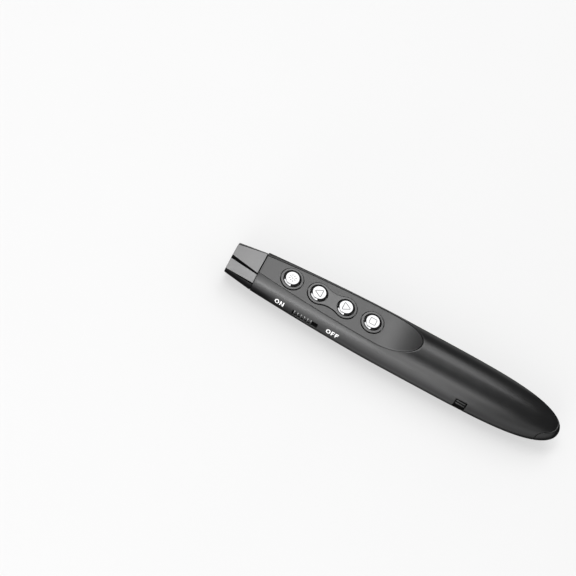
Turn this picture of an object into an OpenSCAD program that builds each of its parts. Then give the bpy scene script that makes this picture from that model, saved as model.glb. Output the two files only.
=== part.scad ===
// Pen-shaped wireless presentation clicker.
//
// A round, tapering plastic body with a flat keypad facet let into its top,
// a silver-plated laser nose, four chromed keys, a side power slide, a snap-on
// battery cover underneath and a USB receiver that forms the tail.
//
// All shapes are drawn about the pen's long axis (nose towards -X, keys
// towards +Z) and then lifted so that the flat on the belly rests on z = 0.

/* [Body] */
// Overall length, nose face to tail tip
pen_len = 143.8; // [143.6:0.1:144.4]
// Largest radius, behind the keypad
body_r = 10.5; // [10.4:0.05:10.6]
// Radius where the shells meet the nose
joint_r = 8.2; // [8.1:0.05:8.3]
// Height of the pen axis above the belly flat
belly_h = 9.8; // [9.75:0.05:9.85]
// Wall thickness of the shells
wall = 1.6; // [1.5:0.05:1.7]
// Height of the parting plane relative to the pen axis
parting_z = -5.3; // [-5.4:0.05:-5.2]

/* [Nose] */
// Length of the nose section
nose_len = 12.1; // [12:0.1:12.3]
// Radius at the nose face
nose_r = 6.6; // [6.5:0.05:6.7]
// Gap that shows the core between nose and shells
nose_gap = 0.25; // [0.2:0.05:0.35]
// Half width of the top plate at the nose face
plate_tip_w = 2.55; // [2.4:0.05:2.7]
// Half width of the top plate at the body joint
plate_joint_w = 4.65; // [4.5:0.05:4.7]
// Radius of the laser module bore
laser_bore_r = 3.05; // [3.05:0.05:3.1]

/* [Keypad] */
// Height of the keypad facet above the pen axis
facet_h = 6.85; // [6.8:0.05:6.9]
// Radius of the scoop that ends the facet
scoop_r = 44; // [43:1:45]
// Thickness of the inlaid top panel
panel_t = 1.2; // [1.15:0.05:1.25]
// Distance between neighbouring keys
key_pitch = 11.7; // [11.6:0.05:11.8]
// Outer radius of a key
key_r = 3.35; // [3.3:0.05:3.4]
// Radius of the flat on top of a key
key_top_r = 2.75; // [2.6:0.05:2.9]
// Height of a key above the facet
key_rise = 1.05; // [0.9:0.05:1.2]
// Travel of a key
key_travel = 0.4; // [0.3:0.05:0.4]
// Outer radius of the raised collar round a key
collar_r = 4.5; // [4.4:0.05:4.6]
// Height of the collars above the facet
collar_h = 0.45; // [0.3:0.05:0.5]
// Half width of the waist that joins the two middle collars
waist_w = 3.2; // [3:0.1:3.4]

/* [Power slide] */
// Travel of the slide
slide_travel = 2.3; // [2:0.1:2.3]
// Number of grip ribs on the knob
rib_count = 6; // [5:1:6]
// Height of the slot
slot_h = 3.1; // [3:0.1:3.2]

/* [Battery bay] */
// Radius of the cell, AAA size
cell_r = 5.25; // [5.2:0.05:5.25]
// Start of the battery cover
cover_x0 = -3.7; // [-3.8:0.1:-3.6]
// End of the battery cover
cover_x1 = 38; // [37.8:0.1:38.1]
// Gap along the battery cover's long edges
cover_gap = 0.2; // [0.2:0.05:0.25]

/* [Receiver] */
// Start of the receiver's cap
cap_x = 64.3; // [64.2:0.05:64.4]
// Height of the cap's flat top above the pen axis
cap_top = 3.6; // [3.5:0.05:3.7]
// Width of the USB-A plug
plug_w = 12; // [12:0.05:12.05]
// Height of the USB-A plug
plug_h = 4.5; // [4.5:0.05:4.55]
// Length of the plug's metal shell
plug_len = 12; // [11.8:0.1:12]

/* [Hidden] */
$fn = 64;
tip_x = pen_len / 2;
nose_x = -pen_len / 2;
joint_x = nose_x + nose_len;
front_x = -4;
scoop_x = -8.5;
key_x = [for (i = [0:3]) -47.2 + i * key_pitch];
key_top = facet_h + key_rise;
panel_floor = facet_h - panel_t;
slot_x0 = -41.3;
slot_x1 = -30.1;
slot_z0 = -0.95;
cell_z = -1.6;
window_x0 = 30.1;
window_x1 = 35;
window_top = 3.4;
cap_corner = 2.2;
pcb_z = 0.2;
pcb_t = 1;
// Screw position along the pen, height of the head's seat, top of the pad
screws = [[-47, -8.0, -7.0], [-14, -8.7, -7.7], [47.5, -8.6, -7.6]];

// ---- the pen's outline -------------------------------------------------

// Radius of the body at a station along the pen
function outer_r(x) =
    x < front_x ? body_r - (body_r - joint_r) * pow((front_x - x) / (front_x - joint_x), 1.6)
    : x <= 12 ? body_r
    : x >= tip_x ? 0
    : body_r * pow(1 - pow(x / tip_x, 4.8), 1 / 2.2);

stations = concat(
    [for (i = [0:7]) joint_x + (front_x - joint_x) * i / 7],
    [for (i = [3:17]) tip_x * sin(90 * i / 18)]
);

// Height of the keypad surface, flat and then swept up in the scoop
function facet_z(x) =
    x <= scoop_x ? facet_h
    : facet_h + scoop_r - sqrt(scoop_r * scoop_r - (x - scoop_x) * (x - scoop_x));

// Half width of the facet between its edges on the round body
function facet_w(x) = sqrt(max(0, pow(outer_r(x), 2) - pow(facet_z(x), 2)));

// Station where the scoop runs out on top of the body
scoop_end = scoop_x + sqrt(scoop_r * scoop_r - pow(facet_h + scoop_r - body_r, 2));

module lift() { translate([0, 0, belly_h]) children(); }

// Solid of revolution that follows the body between two stations
module round_body(x0, x1, grow = 0) {
    r1 = outer_r(x1) + grow;
    rotate([0, 90, 0]) rotate_extrude($fn = 96) polygon(concat(
        [[0, x0], [outer_r(x0) + grow, x0]],
        [for (x = stations) if (x > x0 + 0.3 && x < x1 - 0.05) [outer_r(x) + grow, x]],
        r1 > 0.05 ? [[r1, x1], [0, x1]] : [[0, x1]]
    ));
}

// Everything above the keypad surface, or above a surface t below it
module above_facet(t = 0) {
    translate([-80, -15, facet_h - t]) cube([80 + scoop_x, 30, 10]);
    intersection() {
        translate([scoop_x, 0, facet_h + scoop_r]) rotate([90, 0, 0])
            cylinder(r = scoop_r + t, h = 30, center = true, $fn = 180);
        translate([scoop_x, -15, facet_h - t - 1]) cube([19, 30, 9]);
    }
}

// Plan outline of the inlaid panel, drawn in from the facet's edges
module panel_plan(inset, x0) {
    flat = [for (i = [0:7]) x0 + (scoop_x - x0) * i / 7];
    sweep = [for (i = [1:12]) scoop_x + (scoop_end - 0.03 - scoop_x) * sin(90 * i / 12)];
    edge = [for (x = concat(flat, sweep)) [x, max(0.05, facet_w(x) - inset)]];
    n = len(edge);
    polygon(concat(edge, [for (i = [1:n]) [edge[n - i][0], -edge[n - i][1]]]));
}

// Plan outline of the collars: two round ones and a waisted pair between them
module collar_plan(grow = 0) {
    r = collar_r + grow;
    h = waist_w + grow;
    d = key_pitch / 2;
    arc_r = (d * d + h * h - r * r) / (2 * (r - h));
    reach = arc_r + r;
    tx = d * r / reach;
    ty = (h + arc_r) * r / reach;
    translate([key_x[0], 0]) circle(r = r);
    translate([key_x[3], 0]) circle(r = r);
    translate([(key_x[1] + key_x[2]) / 2, 0]) {
        for (s = [-1, 1]) translate([s * d, 0]) circle(r = r);
        difference() {
            square([2 * (d - tx), 2 * ty], center = true);
            for (s = [-1, 1]) translate([0, s * (h + arc_r)]) circle(r = arc_r, $fn = 128);
        }
    }
}

// ---- casings ------------------------------------------------------------

// Space of the stowed plug, with its sliding clearance
module plug_cavity() {
    translate([cap_x - plug_len - 0.35, -plug_w / 2 - 0.12, -plug_h / 2 - 0.12])
        cube([plug_len + 3, plug_w + 0.24, plug_h + 0.24]);
}

// Side view of the receiver's cap: a rounded upper corner, open to the tail
module cap_side(grow = 0) {
    rotate([90, 0, 0]) linear_extrude(30, center = true) translate([-grow, grow]) {
        translate([cap_x + cap_corner, -15]) square([12, 15 + cap_top]);
        translate([cap_x, -15]) square([12, 15 + cap_top - cap_corner]);
        translate([cap_x + cap_corner, cap_top - cap_corner]) circle(r = cap_corner);
    }
}

module upper_shell() {
    color("#29292b") lift() difference() {
        round_body(joint_x, tip_x);
        round_body(joint_x - 1, 60, -wall);
        translate([-80, -15, -20]) cube([160, 30, 20 + parting_z]);
        above_facet();
        intersection() {
            above_facet(panel_t);
            linear_extrude(12) panel_plan(0.2, joint_x - 1);
        }
        // power slot in the left wall
        translate([slot_x0, -12, slot_z0]) cube([slot_x1 - slot_x0, 6, slot_h]);
        // catch windows, open at the parting line
        for (s = [0, 1]) mirror([0, s, 0])
            translate([window_x0, 6.7, -8]) cube([window_x1 - window_x0, 5.8, 8 + window_top]);
        // notches for the cover's front ears
        for (s = [0, 1]) mirror([0, s, 0])
            translate([cover_x0 - 0.6, 6, -8]) cube([4.6, 5, 3.9]);
        plug_cavity();
        cap_side(0.25);
    }
}

module lower_front_shell() {
    color("#232325") lift() difference() {
        union() {
            difference() {
                round_body(joint_x, cover_x0 - 0.6);
                round_body(joint_x - 1, cover_x0, -wall);
            }
            for (s = [screws[0], screws[1]]) intersection() {
                translate([s[0], 0, -12]) cylinder(r = 3, h = 12 + s[2]);
                round_body(joint_x, cover_x0 - 0.6, -wall / 2);
            }
        }
        translate([-80, -15, parting_z]) cube([160, 30, 30]);
        translate([-80, -15, -belly_h - 5]) cube([160, 30, 5]);
        for (s = [screws[0], screws[1]]) {
            translate([s[0], 0, -12]) cylinder(r = 2.1, h = 12 + s[1]);
            translate([s[0], 0, -12]) cylinder(r = 1.1, h = 12);
        }
    }
}

module lower_tail_shell() {
    x0 = cover_x1 + 0.3;
    color("#232325") lift() difference() {
        union() {
            difference() {
                round_body(x0, cap_x - 0.25);
                round_body(x0 - 1, 60, -wall);
            }
            intersection() {
                translate([screws[2][0], 0, -12]) cylinder(r = 3, h = 12 + screws[2][2]);
                round_body(x0, cap_x - 0.25, -wall / 2);
            }
        }
        translate([-80, -15, parting_z]) cube([160, 30, 30]);
        translate([-80, -15, -belly_h - 5]) cube([160, 30, 5]);
        translate([screws[2][0], 0, -12]) cylinder(r = 2.1, h = 12 + screws[2][1]);
        translate([screws[2][0], 0, -12]) cylinder(r = 1.1, h = 12);
    }
}

module top_panel() {
    color("#6c6c6f") lift() difference() {
        intersection() {
            translate([0, 0, panel_floor]) linear_extrude(6) panel_plan(0.35, joint_x + 0.1);
            difference() {
                above_facet(panel_t);
                above_facet();
            }
        }
        translate([0, 0, 4]) linear_extrude(5) collar_plan(0.08);
    }
}

// Carrier plate under the panel; its collars stand up through the openings
module keypad_frame() {
    color("#707073") lift() difference() {
        union() {
            intersection() {
                translate([-52.8, -8, panel_floor - 1]) cube([45.8, 16, 1]);
                round_body(joint_x, 0, -wall - 0.1);
            }
            translate([0, 0, panel_floor - 0.5])
                linear_extrude(panel_t + collar_h + 0.5) collar_plan();
        }
        for (x = key_x) translate([x, 0, 3]) cylinder(r = key_r + 0.25, h = 8);
    }
}

// ---- nose ---------------------------------------------------------------

side_tilt = atan(0.1555);
top_tilt = atan(0.35 / nose_len);

// Seats on the sloping sides, in the plane of each side plate
module on_side_plane() {
    rotate([55.3, 0, 0]) translate([nose_x, 0, 6.13]) rotate([0, -side_tilt, 0]) children();
}

module on_top_plane() {
    translate([nose_x, 0, facet_h - 0.35]) rotate([0, -top_tilt, 0]) children();
}

module nose_core() {
    x1 = joint_x - nose_gap;
    color("#1b1b1d") lift() difference() {
        union() {
            rotate([0, 90, 0]) rotate_extrude($fn = 96) polygon([
                [0, nose_x], [nose_r - 0.4, nose_x], [nose_r, nose_x + 0.4],
                [joint_r - 0.1, x1], [0, x1]
            ]);
            difference() {
                translate([x1 - 1, 0, 0]) rotate([0, 90, 0]) cylinder(r = 6.45, h = 6.5);
                translate([x1, -10, panel_floor - 0.25]) cube([10, 20, 5]);
            }
        }
        on_top_plane() translate([-2, -10, -1.15]) cube([nose_len + 6, 20, 8]);
        for (s = [0, 1]) mirror([0, s, 0])
            on_side_plane() translate([-2, -2.6, -1]) cube([nose_len + 6, 12, 8]);
        translate([nose_x - 1, 0, 0]) rotate([0, 90, 0]) cylinder(r = laser_bore_r, h = 30);
        translate([nose_x - 1, 0, 0]) rotate([0, 90, 0]) cylinder(r = 3.9, h = 2.3);
    }
}

module nose_top_plate() {
    color("#a2a1a3") lift() on_top_plane() translate([0, 0, -1.15]) linear_extrude(1.15)
        polygon([[0.05, -plate_tip_w], [0.05, plate_tip_w],
                 [nose_len - nose_gap, plate_joint_w], [nose_len - nose_gap, -plate_joint_w]]);
}

module side_plate() {
    on_side_plane() translate([0, 0, -1]) linear_extrude(1)
        polygon([[0.2, -2.5], [0.2, 2.35], [nose_len - nose_gap, 2.05], [nose_len - nose_gap, -1.7]]);
}

module nose_left_plate() { color("#a6a5a2") lift() side_plate(); }

module nose_right_plate() { color("#a6a5a2") lift() mirror([0, 1, 0]) side_plate(); }

module laser_window() {
    color("#3a1518") lift() translate([nose_x + 0.4, 0, 0]) rotate([0, 90, 0])
        cylinder(r = 3.85, h = 0.8);
}

module laser_barrel() {
    color("#b08d4a") lift() difference() {
        translate([nose_x + 1.35, 0, 0]) rotate([0, 90, 0]) cylinder(r = 3, h = 13);
        translate([nose_x, 0, 0]) rotate([0, 90, 0]) cylinder(r = 2.4, h = 30);
    }
}

module laser_lens() {
    color("#c9dfe6") lift() translate([nose_x + 2.6, 0, 0]) rotate([0, 90, 0])
        rotate_extrude() polygon([[0, -0.2], [1.2, -0.1], [2.38, 0.15], [2.38, 1], [0, 1]]);
}

module laser_diode() {
    color("#c8b070") lift() translate([nose_x + 10, 0, 0]) rotate([0, 90, 0]) {
        cylinder(r = 1.8, h = 2.6);
        translate([0, 0, 2.5]) cylinder(r = 2.38, h = 1);
    }
}

module laser_driver_board() {
    color("#1f5a3c") lift() translate([nose_x + 14.4, -2.4, -0.4]) cube([6, 4.8, 1]);
}

module laser_leads() {
    color("#b8322c") lift() for (y = [-1.2, 1.2])
        translate([nose_x + 20.4, y, 0.4]) rotate([0, 90, 0]) cylinder(r = 0.18, h = 0.7);
}

// ---- electronics --------------------------------------------------------

module main_board() {
    color("#1f5a3c") lift() difference() {
        translate([nose_x + 21.1, -5.8, pcb_z]) cube([41.3, 11.6, pcb_t]);
        for (y = [-3.6, 3.6]) translate([-10.6, y, -1]) cylinder(r = 0.5, h = 4);
    }
}

module tact_switch_cases() {
    color("#2b2b2d") lift() for (x = key_x) difference() {
        translate([x - 2.3, -2.3, pcb_z + pcb_t]) cube([4.6, 4.6, 1.6]);
        translate([x, 0, pcb_z + pcb_t + 0.7]) cylinder(r = 1.35, h = 3);
    }
}

module controller_chip() {
    color("#1c1c1e") lift() translate([-26, -2.5, pcb_z - 0.9]) cube([5, 5, 0.9]);
}

module crystal_can() {
    color("#c4c6c8") lift() translate([-19.5, -1.1, pcb_z - 0.8]) cube([3.2, 2.5, 0.8]);
}

module board_components() {
    color("#8a7f6b") lift() {
        for (i = [0:3]) translate([-29.6 + i * 3.2, 3.6, pcb_z - 0.6]) cube([1.6, 0.8, 0.6]);
        for (i = [0:2]) translate([-25.6 + i * 3.2, -4.6, pcb_z - 0.6]) cube([1.6, 0.8, 0.6]);
        translate([-45.6, 0.6, pcb_z - 1.6]) cube([3, 3, 1.6]);
    }
}

module power_switch_case() {
    color("#b9bbbd") lift() difference() {
        translate([-40.6, -5.6, pcb_z - 1.8]) cube([8.4, 3, 1.8]);
        translate([-38.3, -6, pcb_z - 1.5]) cube([4.5, 1.9, 1.3]);
    }
}

// ---- battery bay --------------------------------------------------------

module battery_chassis() {
    color("#2e2e31") lift() difference() {
        union() {
            // tray under the board, with its four posts
            translate([-50.8, -5.6, -3.2]) cube([46.5, 11.2, 1]);
            for (x = [-49.6, -10.6], y = [-3.6, 3.6])
                translate([x, y, -2.3]) cylinder(r = 1.1, h = 2.3 + pcb_z);
            // screw bosses
            for (s = [screws[0], screws[1]])
                translate([s[0], 0, s[2]]) cylinder(r = 2.2, h = -3.1 - s[2]);
            // walls at the ends of the cell
            translate([-4.4, -5.6, -6.5]) cube([1.5, 11.2, 9.95]);
            translate([45.3, -5.6, -6]) cube([1.2, 11.2, 9.9]);
            translate([45.3, -2.4, screws[2][2]]) cube([4.6, 4.8, 5]);
            // cradle over the cell
            difference() {
                translate([-4.4, 0, cell_z]) rotate([0, 90, 0]) cylinder(r = cell_r + 1.3, h = 50.9);
                translate([-5, 0, cell_z]) rotate([0, 90, 0]) cylinder(r = cell_r + 0.2, h = 60);
                translate([-10, -10, -15]) cube([70, 20, 15 + cell_z]);
            }
        }
        for (s = screws) translate([s[0], 0, -10]) cylinder(r = 0.95, h = 6.9);
        translate([-5, 3, pcb_z + 0.5]) rotate([0, 90, 0]) cylinder(r = 0.4, h = 3);
        // slot of the negative contact
        translate([44.8, -4.1, cell_z]) cube([0.5, 8.2, 6]);
    }
}

module battery_can() {
    color("#c9cacc") lift() translate([-1.2, 0, cell_z]) rotate([0, 90, 0])
        cylinder(r = cell_r - 0.15, h = 43.3);
}

module battery_sleeve() {
    color("#2f5d8a") lift() translate([-0.6, 0, cell_z]) rotate([0, 90, 0]) difference() {
        cylinder(r = cell_r, h = 42.2);
        translate([0, 0, -1]) cylinder(r = cell_r - 0.15, h = 50);
    }
}

module battery_cap() {
    color("#d4d5d6") lift() translate([-2.5, 0, cell_z]) rotate([0, 90, 0]) cylinder(r = 1.9, h = 1.3);
}

module positive_contact() {
    color("#c8c4b4") lift() translate([-2.9, -4, cell_z - 3.6]) cube([0.4, 8, 7.2]);
}

module negative_contact() {
    color("#c8c4b4") lift() {
        translate([44.9, -4, cell_z - 3.9]) cube([0.4, 8, 9.2]);
        // tab for the lead
        translate([44.9, 3, cell_z + 5.25]) cube([0.4, 2.65, 0.65]);
    }
}

// Point on the spring's centre line at turn t, and a ring of wire round it
spring_turns = 4;
spring_sides = 8;
spring_steps = spring_turns * 12;
function spring_r(t) = 2.4 + 1.2 * t / spring_turns;
function spring_x(t) = 42.4 + 2.2 * t / spring_turns;
function wire_ring(t) = [for (j = [0:spring_sides - 1])
    let (a = 360 * j / spring_sides, r = spring_r(t) + 0.28 * cos(a))
    [spring_x(t) + 0.28 * sin(a), r * cos(360 * t), cell_z + r * sin(360 * t)]];

module battery_spring() {
    points = [for (i = [0:spring_steps]) each wire_ring(i * spring_turns / spring_steps)];
    last = spring_steps * spring_sides;
    color("#c2c4c6") lift() polyhedron(points, concat(
        [[for (j = [0:spring_sides - 1]) j]],
        [for (i = [0:spring_steps - 1], j = [0:spring_sides - 1])
            let (k = (j + 1) % spring_sides, a = i * spring_sides, b = a + spring_sides)
            [a + j, b + j, b + k, a + k]],
        [[for (j = [0:spring_sides - 1]) last + spring_sides - 1 - j]]
    ));
}

module battery_leads() {
    color("#a52a2a") lift() {
        // positive lead, straight through the chassis wall to the board
        translate([nose_x + 62.4, 3, pcb_z + 0.5]) rotate([0, 90, 0]) cylinder(r = 0.35, h = 6.6);
        // negative lead, beside the cradle
        translate([-11, 5.3, 3.9]) rotate([0, 90, 0]) cylinder(r = 0.35, h = 55.9);
        translate([-11, 5.3, pcb_z + pcb_t]) cylinder(r = 0.35, h = 2.7);
    }
}

module case_screws() {
    color("#8f9092") lift() for (s = screws) difference() {
        union() {
            translate([s[0], 0, s[1] - 0.8]) cylinder(r = 1.9, h = 0.8);
            translate([s[0], 0, s[1] - 0.1]) cylinder(r = 0.9, h = 4.9 + (s[1] < -8.3 ? 0.5 : 0));
        }
        for (a = [0, 90]) translate([s[0], 0, s[1] - 1]) rotate([0, 0, a])
            cube([2.2, 0.5, 1.2], center = true);
    }
}

module battery_cover() {
    top = parting_z - cover_gap;
    color("#232325") lift() {
        difference() {
            intersection() {
                difference() {
                    round_body(cover_x0, cover_x1);
                    round_body(cover_x0 - 1, cover_x1 + 1, -wall);
                }
                union() {
                    translate([-10, -15, -15]) cube([60, 30, 15 + top]);
                    // ears that snap into the upper shell
                    translate([cover_x0 - 1, -15, -15]) cube([4.6, 30, 15 - 4.3]);
                }
            }
            translate([-80, -15, -belly_h - 5]) cube([160, 30, 5]);
        }
        // spring hooks with a ribbed press tab in each catch window
        for (s = [0, 1]) mirror([0, s, 0]) {
            intersection() {
                round_body(26, 42, -0.35);
                union() {
                    translate([window_x0 + 0.4, 7.4, -7]) cube([window_x1 - window_x0 - 0.8, 1.1, 10.15]);
                    translate([window_x0 + 0.4, 8.4, 0.35]) cube([window_x1 - window_x0 - 0.8, 3, 2.8]);
                }
            }
            for (r = [[0.7, 10.1], [2, 9.8]])
                translate([window_x0 + 0.7, r[1] - 0.5, r[0]]) cube([window_x1 - window_x0 - 1.4, 0.5, 0.9]);
        }
    }
}

module cover_foam_pad() {
    color("#3b3b3d") lift() intersection() {
        translate([12, -3, -belly_h]) cube([14, 6, 2.6]);
        round_body(8, 30, -wall - 0.03);
    }
}

// ---- receiver -----------------------------------------------------------

module receiver_bay() {
    x0 = cap_x - plug_len - 1.4;
    color("#2e2e31") lift() difference() {
        intersection() {
            translate([x0, -plug_w / 2 - 0.9, -plug_h / 2 - 0.9])
                cube([60 - x0, plug_w + 1.8, plug_h + 1.8]);
            round_body(40, 60, -wall - 0.05);
        }
        plug_cavity();
    }
}

module receiver_cap() {
    color("#232325") lift() difference() {
        intersection() {
            round_body(cap_x - 2, tip_x);
            cap_side();
        }
        translate([cap_x - 1, -4.4, -1]) cube([4.6, 8.8, 2]);
    }
}

module usb_plug_shell() {
    x0 = cap_x - plug_len;
    color("#c5c8cb") lift() difference() {
        translate([x0, -plug_w / 2, -plug_h / 2]) cube([plug_len, plug_w, plug_h]);
        translate([x0 - 1, -plug_w / 2 + 0.3, -plug_h / 2 + 0.3]) cube([plug_len + 2, plug_w - 0.6, plug_h - 0.6]);
        for (y = [-2.9, 2.9]) translate([x0 + 5.2, y - 1.25, -5]) cube([2.2, 2.5, 10]);
    }
}

module usb_tongue() {
    color("#e6e6e2") lift() translate([cap_x - plug_len + 0.3, -5.65, -1.9]) cube([plug_len - 0.35, 11.3, 1.9]);
}

module usb_contacts() {
    color("#d0a94a") lift() for (y = [-3.5, -1, 1, 3.5])
        translate([cap_x - plug_len + 1.2, y - 0.5, 0]) cube([plug_len - 2, 1, 0.15]);
}

module receiver_board() {
    color("#1f5a3c") lift() translate([cap_x, -4, -0.4]) cube([3.4, 8, 0.8]);
}

// ---- keys ---------------------------------------------------------------

module key_cap(i) {
    z1 = panel_floor - 1.1;
    translate([key_x[i], 0, 0]) rotate_extrude() polygon([
        [0, z1 - 1.15], [1.6, z1 - 1.15], [1.6, z1 - 0.7], [3.95, z1 - 0.7], [3.95, z1],
        [key_r, z1], [key_r, key_top - 0.45], [key_r - 0.15, key_top - 0.25],
        [key_top_r + 0.15, key_top - 0.04], [key_top_r, key_top], [0, key_top]
    ]);
}

module plunger(i) {
    translate([key_x[i], 0, pcb_z + pcb_t + 1.15]) cylinder(r = 1.2, h = panel_floor - 2.25 - (pcb_z + pcb_t + 1.15));
}

module laser_key() { color("#dcdddf") lift() key_cap(0); }
module page_forward_key() { color("#dcdddf") lift() key_cap(1); }
module page_back_key() { color("#dcdddf") lift() key_cap(2); }
module blank_screen_key() { color("#dcdddf") lift() key_cap(3); }

module laser_plunger() { color("#3a3a3c") lift() plunger(0); }
module page_forward_plunger() { color("#3a3a3c") lift() plunger(1); }
module page_back_plunger() { color("#3a3a3c") lift() plunger(2); }
module blank_screen_plunger() { color("#3a3a3c") lift() plunger(3); }

// ---- power slide --------------------------------------------------------

module power_knob() {
    x0 = slot_x0 + 0.3;
    len = slot_x1 - slot_x0 - 0.5 - slide_travel;
    z0 = slot_z0 + 0.25;
    h = slot_h - 0.5;
    color("#141416") lift() {
        translate([x0, -8.95, z0]) cube([len, 2.2, h]);
        translate([x0 - 1, -6.9, z0 - 1]) cube([len + 2, 0.6, h + 1.8]);
        for (i = [0:rib_count - 1])
            translate([x0 + 0.25 + i * 1.47, -9.45, z0]) cube([0.7, 0.6, h]);
    }
}

module power_lever() {
    color("#8c8d90") lift() translate([-38, -6.3, pcb_z - 1.3]) cube([1.6, 1.8, 0.9]);
}

upper_shell();
lower_front_shell();
lower_tail_shell();
top_panel();
keypad_frame();
nose_core();
nose_top_plate();
nose_left_plate();
nose_right_plate();
laser_window();
laser_barrel();
laser_lens();
laser_diode();
laser_driver_board();
laser_leads();
main_board();
tact_switch_cases();
controller_chip();
crystal_can();
board_components();
power_switch_case();
battery_chassis();
battery_can();
battery_sleeve();
battery_cap();
positive_contact();
negative_contact();
battery_spring();
battery_leads();
case_screws();
receiver_bay();
laser_key();
page_forward_key();
page_back_key();
blank_screen_key();
laser_plunger();
page_forward_plunger();
page_back_plunger();
blank_screen_plunger();
power_knob();
power_lever();
battery_cover();
cover_foam_pad();
receiver_cap();
usb_plug_shell();
usb_tongue();
usb_contacts();
receiver_board();
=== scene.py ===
import math

import bmesh
import bpy
from mathutils import Matrix, Vector


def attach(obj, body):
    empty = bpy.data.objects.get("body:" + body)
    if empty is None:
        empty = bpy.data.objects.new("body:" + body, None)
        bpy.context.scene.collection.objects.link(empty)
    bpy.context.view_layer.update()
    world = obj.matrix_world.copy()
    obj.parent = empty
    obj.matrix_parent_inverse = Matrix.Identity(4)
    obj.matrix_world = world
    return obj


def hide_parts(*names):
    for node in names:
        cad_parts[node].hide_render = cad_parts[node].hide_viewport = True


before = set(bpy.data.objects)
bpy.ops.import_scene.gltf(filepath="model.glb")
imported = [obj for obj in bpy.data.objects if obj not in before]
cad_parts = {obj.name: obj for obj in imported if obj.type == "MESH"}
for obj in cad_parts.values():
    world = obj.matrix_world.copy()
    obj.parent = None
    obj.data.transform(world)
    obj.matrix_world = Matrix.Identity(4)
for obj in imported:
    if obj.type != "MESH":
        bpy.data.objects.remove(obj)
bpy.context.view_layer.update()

# ---------------------------------------------------------------------------
# Geometry is worked out in millimetres about the pen's axis (nose towards -X,
# keys towards +Z) and turned into metres in the row frame when a piece is made.
# ---------------------------------------------------------------------------
MM = 0.001
LIFT = 9.8
TIP = 71.9
NOSE = -71.9
JOINT = -59.8
FRONT = -4.0
FACET = 6.85
SCOOP_X = -8.5
SCOOP_R = 44.0
PANEL_T = 1.2
PART_Z = -5.3
COVER_Z = -5.5
BELLY = -9.8
FIT = 0.9995
CAP_X = 64.3
CAP_TOP = 3.6
CAP_R = 2.2
KEYS = [-47.2 + 11.7 * i for i in range(4)]
KEY_NAMES = ["laser", "page_forward", "page_back", "blank_screen"]
FLOOR_Z = FACET - PANEL_T


def outer_r(x):
    if x < FRONT:
        r = 10.5 - 2.3 * ((FRONT - x) / (FRONT - JOINT)) ** 1.6
    elif x <= 12:
        r = 10.5
    elif x >= TIP:
        r = 0.0
    else:
        r = 10.5 * (1 - (x / TIP) ** 4.8) ** (1 / 2.2)
    return r * FIT


def slope_r(x):
    return (outer_r(x + 0.01) - outer_r(x - 0.01)) / 0.02


def facet_z(x):
    if x <= SCOOP_X:
        return FACET
    return FACET + SCOOP_R - math.sqrt(SCOOP_R ** 2 - (x - SCOOP_X) ** 2)


def facet_low(x):
    """The pocket's floor, one panel thickness under the keypad surface."""
    if x <= SCOOP_X:
        return FLOOR_Z
    return FACET + SCOOP_R - math.sqrt((SCOOP_R + PANEL_T) ** 2 - (x - SCOOP_X) ** 2)


def slope_f(x):
    return 0.0 if x <= SCOOP_X else (x - SCOOP_X) / math.sqrt(SCOOP_R ** 2 - (x - SCOOP_X) ** 2)


SCOOP_END = SCOOP_X + math.sqrt(SCOOP_R ** 2 - (FACET + SCOOP_R - 10.5 * FIT) ** 2)


def half_w(x, g=0.0):
    return math.sqrt(max(0.0, (outer_r(x) + g) ** 2 - (facet_z(x) + g) ** 2))


# ---- mesh helpers ----------------------------------------------------------

class Shape:
    def __init__(self):
        self.v = []
        self.f = []

    def ring(self, pts):
        start = len(self.v)
        self.v.extend(tuple(p) for p in pts)
        return list(range(start, len(self.v)))

    def strip(self, a, b, closed=False):
        n = len(a)
        for i in range(n if closed else n - 1):
            j = (i + 1) % n
            self.f.append((a[i], a[j], b[j], b[i]))

    def loft(self, rings, closed=True, caps=True):
        ids = [self.ring(r) for r in rings]
        for a, b in zip(ids, ids[1:]):
            self.strip(a, b, closed)
        if caps:
            self.f.append(tuple(reversed(ids[0])))
            self.f.append(tuple(ids[-1]))
        return ids

    def mesh(self, name="shape", merge=2e-4):
        me = bpy.data.meshes.new(name)
        me.from_pydata(self.v, [], self.f)
        bm = bmesh.new()
        bm.from_mesh(me)
        bmesh.ops.remove_doubles(bm, verts=bm.verts, dist=merge)
        bmesh.ops.dissolve_degenerate(bm, dist=1e-5, edges=bm.edges)
        bmesh.ops.recalc_face_normals(bm, faces=bm.faces)
        loose = [v for v in bm.verts if not v.link_faces]
        bmesh.ops.delete(bm, geom=loose, context="VERTS")
        bm.to_mesh(me)
        bm.free()
        return me


def boolean(base, cutters, op="DIFFERENCE"):
    """Exact boolean of meshes in millimetres; returns a new mesh."""
    if not isinstance(cutters, (list, tuple)):
        cutters = [cutters]
    a = bpy.data.objects.new("tmp_base", base)
    bpy.context.scene.collection.objects.link(a)
    made = [a]
    for c in cutters:
        o = bpy.data.objects.new("tmp_cut", c)
        bpy.context.scene.collection.objects.link(o)
        made.append(o)
        m = a.modifiers.new("cut", "BOOLEAN")
        m.operation, m.solver, m.object = op, "EXACT", o
    dg = bpy.context.evaluated_depsgraph_get()
    dg.update()
    out = bpy.data.meshes.new_from_object(a.evaluated_get(dg))
    for o in made:
        bpy.data.objects.remove(o)
    return out


def join(meshes):
    bm = bmesh.new()
    for me in meshes:
        bm.from_mesh(me)
    out = bpy.data.meshes.new("joined")
    bm.to_mesh(out)
    bm.free()
    return out


def open_edges(me):
    bm = bmesh.new()
    bm.from_mesh(me)
    n = sum(1 for e in bm.edges if len(e.link_faces) != 2)
    bm.free()
    return n


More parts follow.
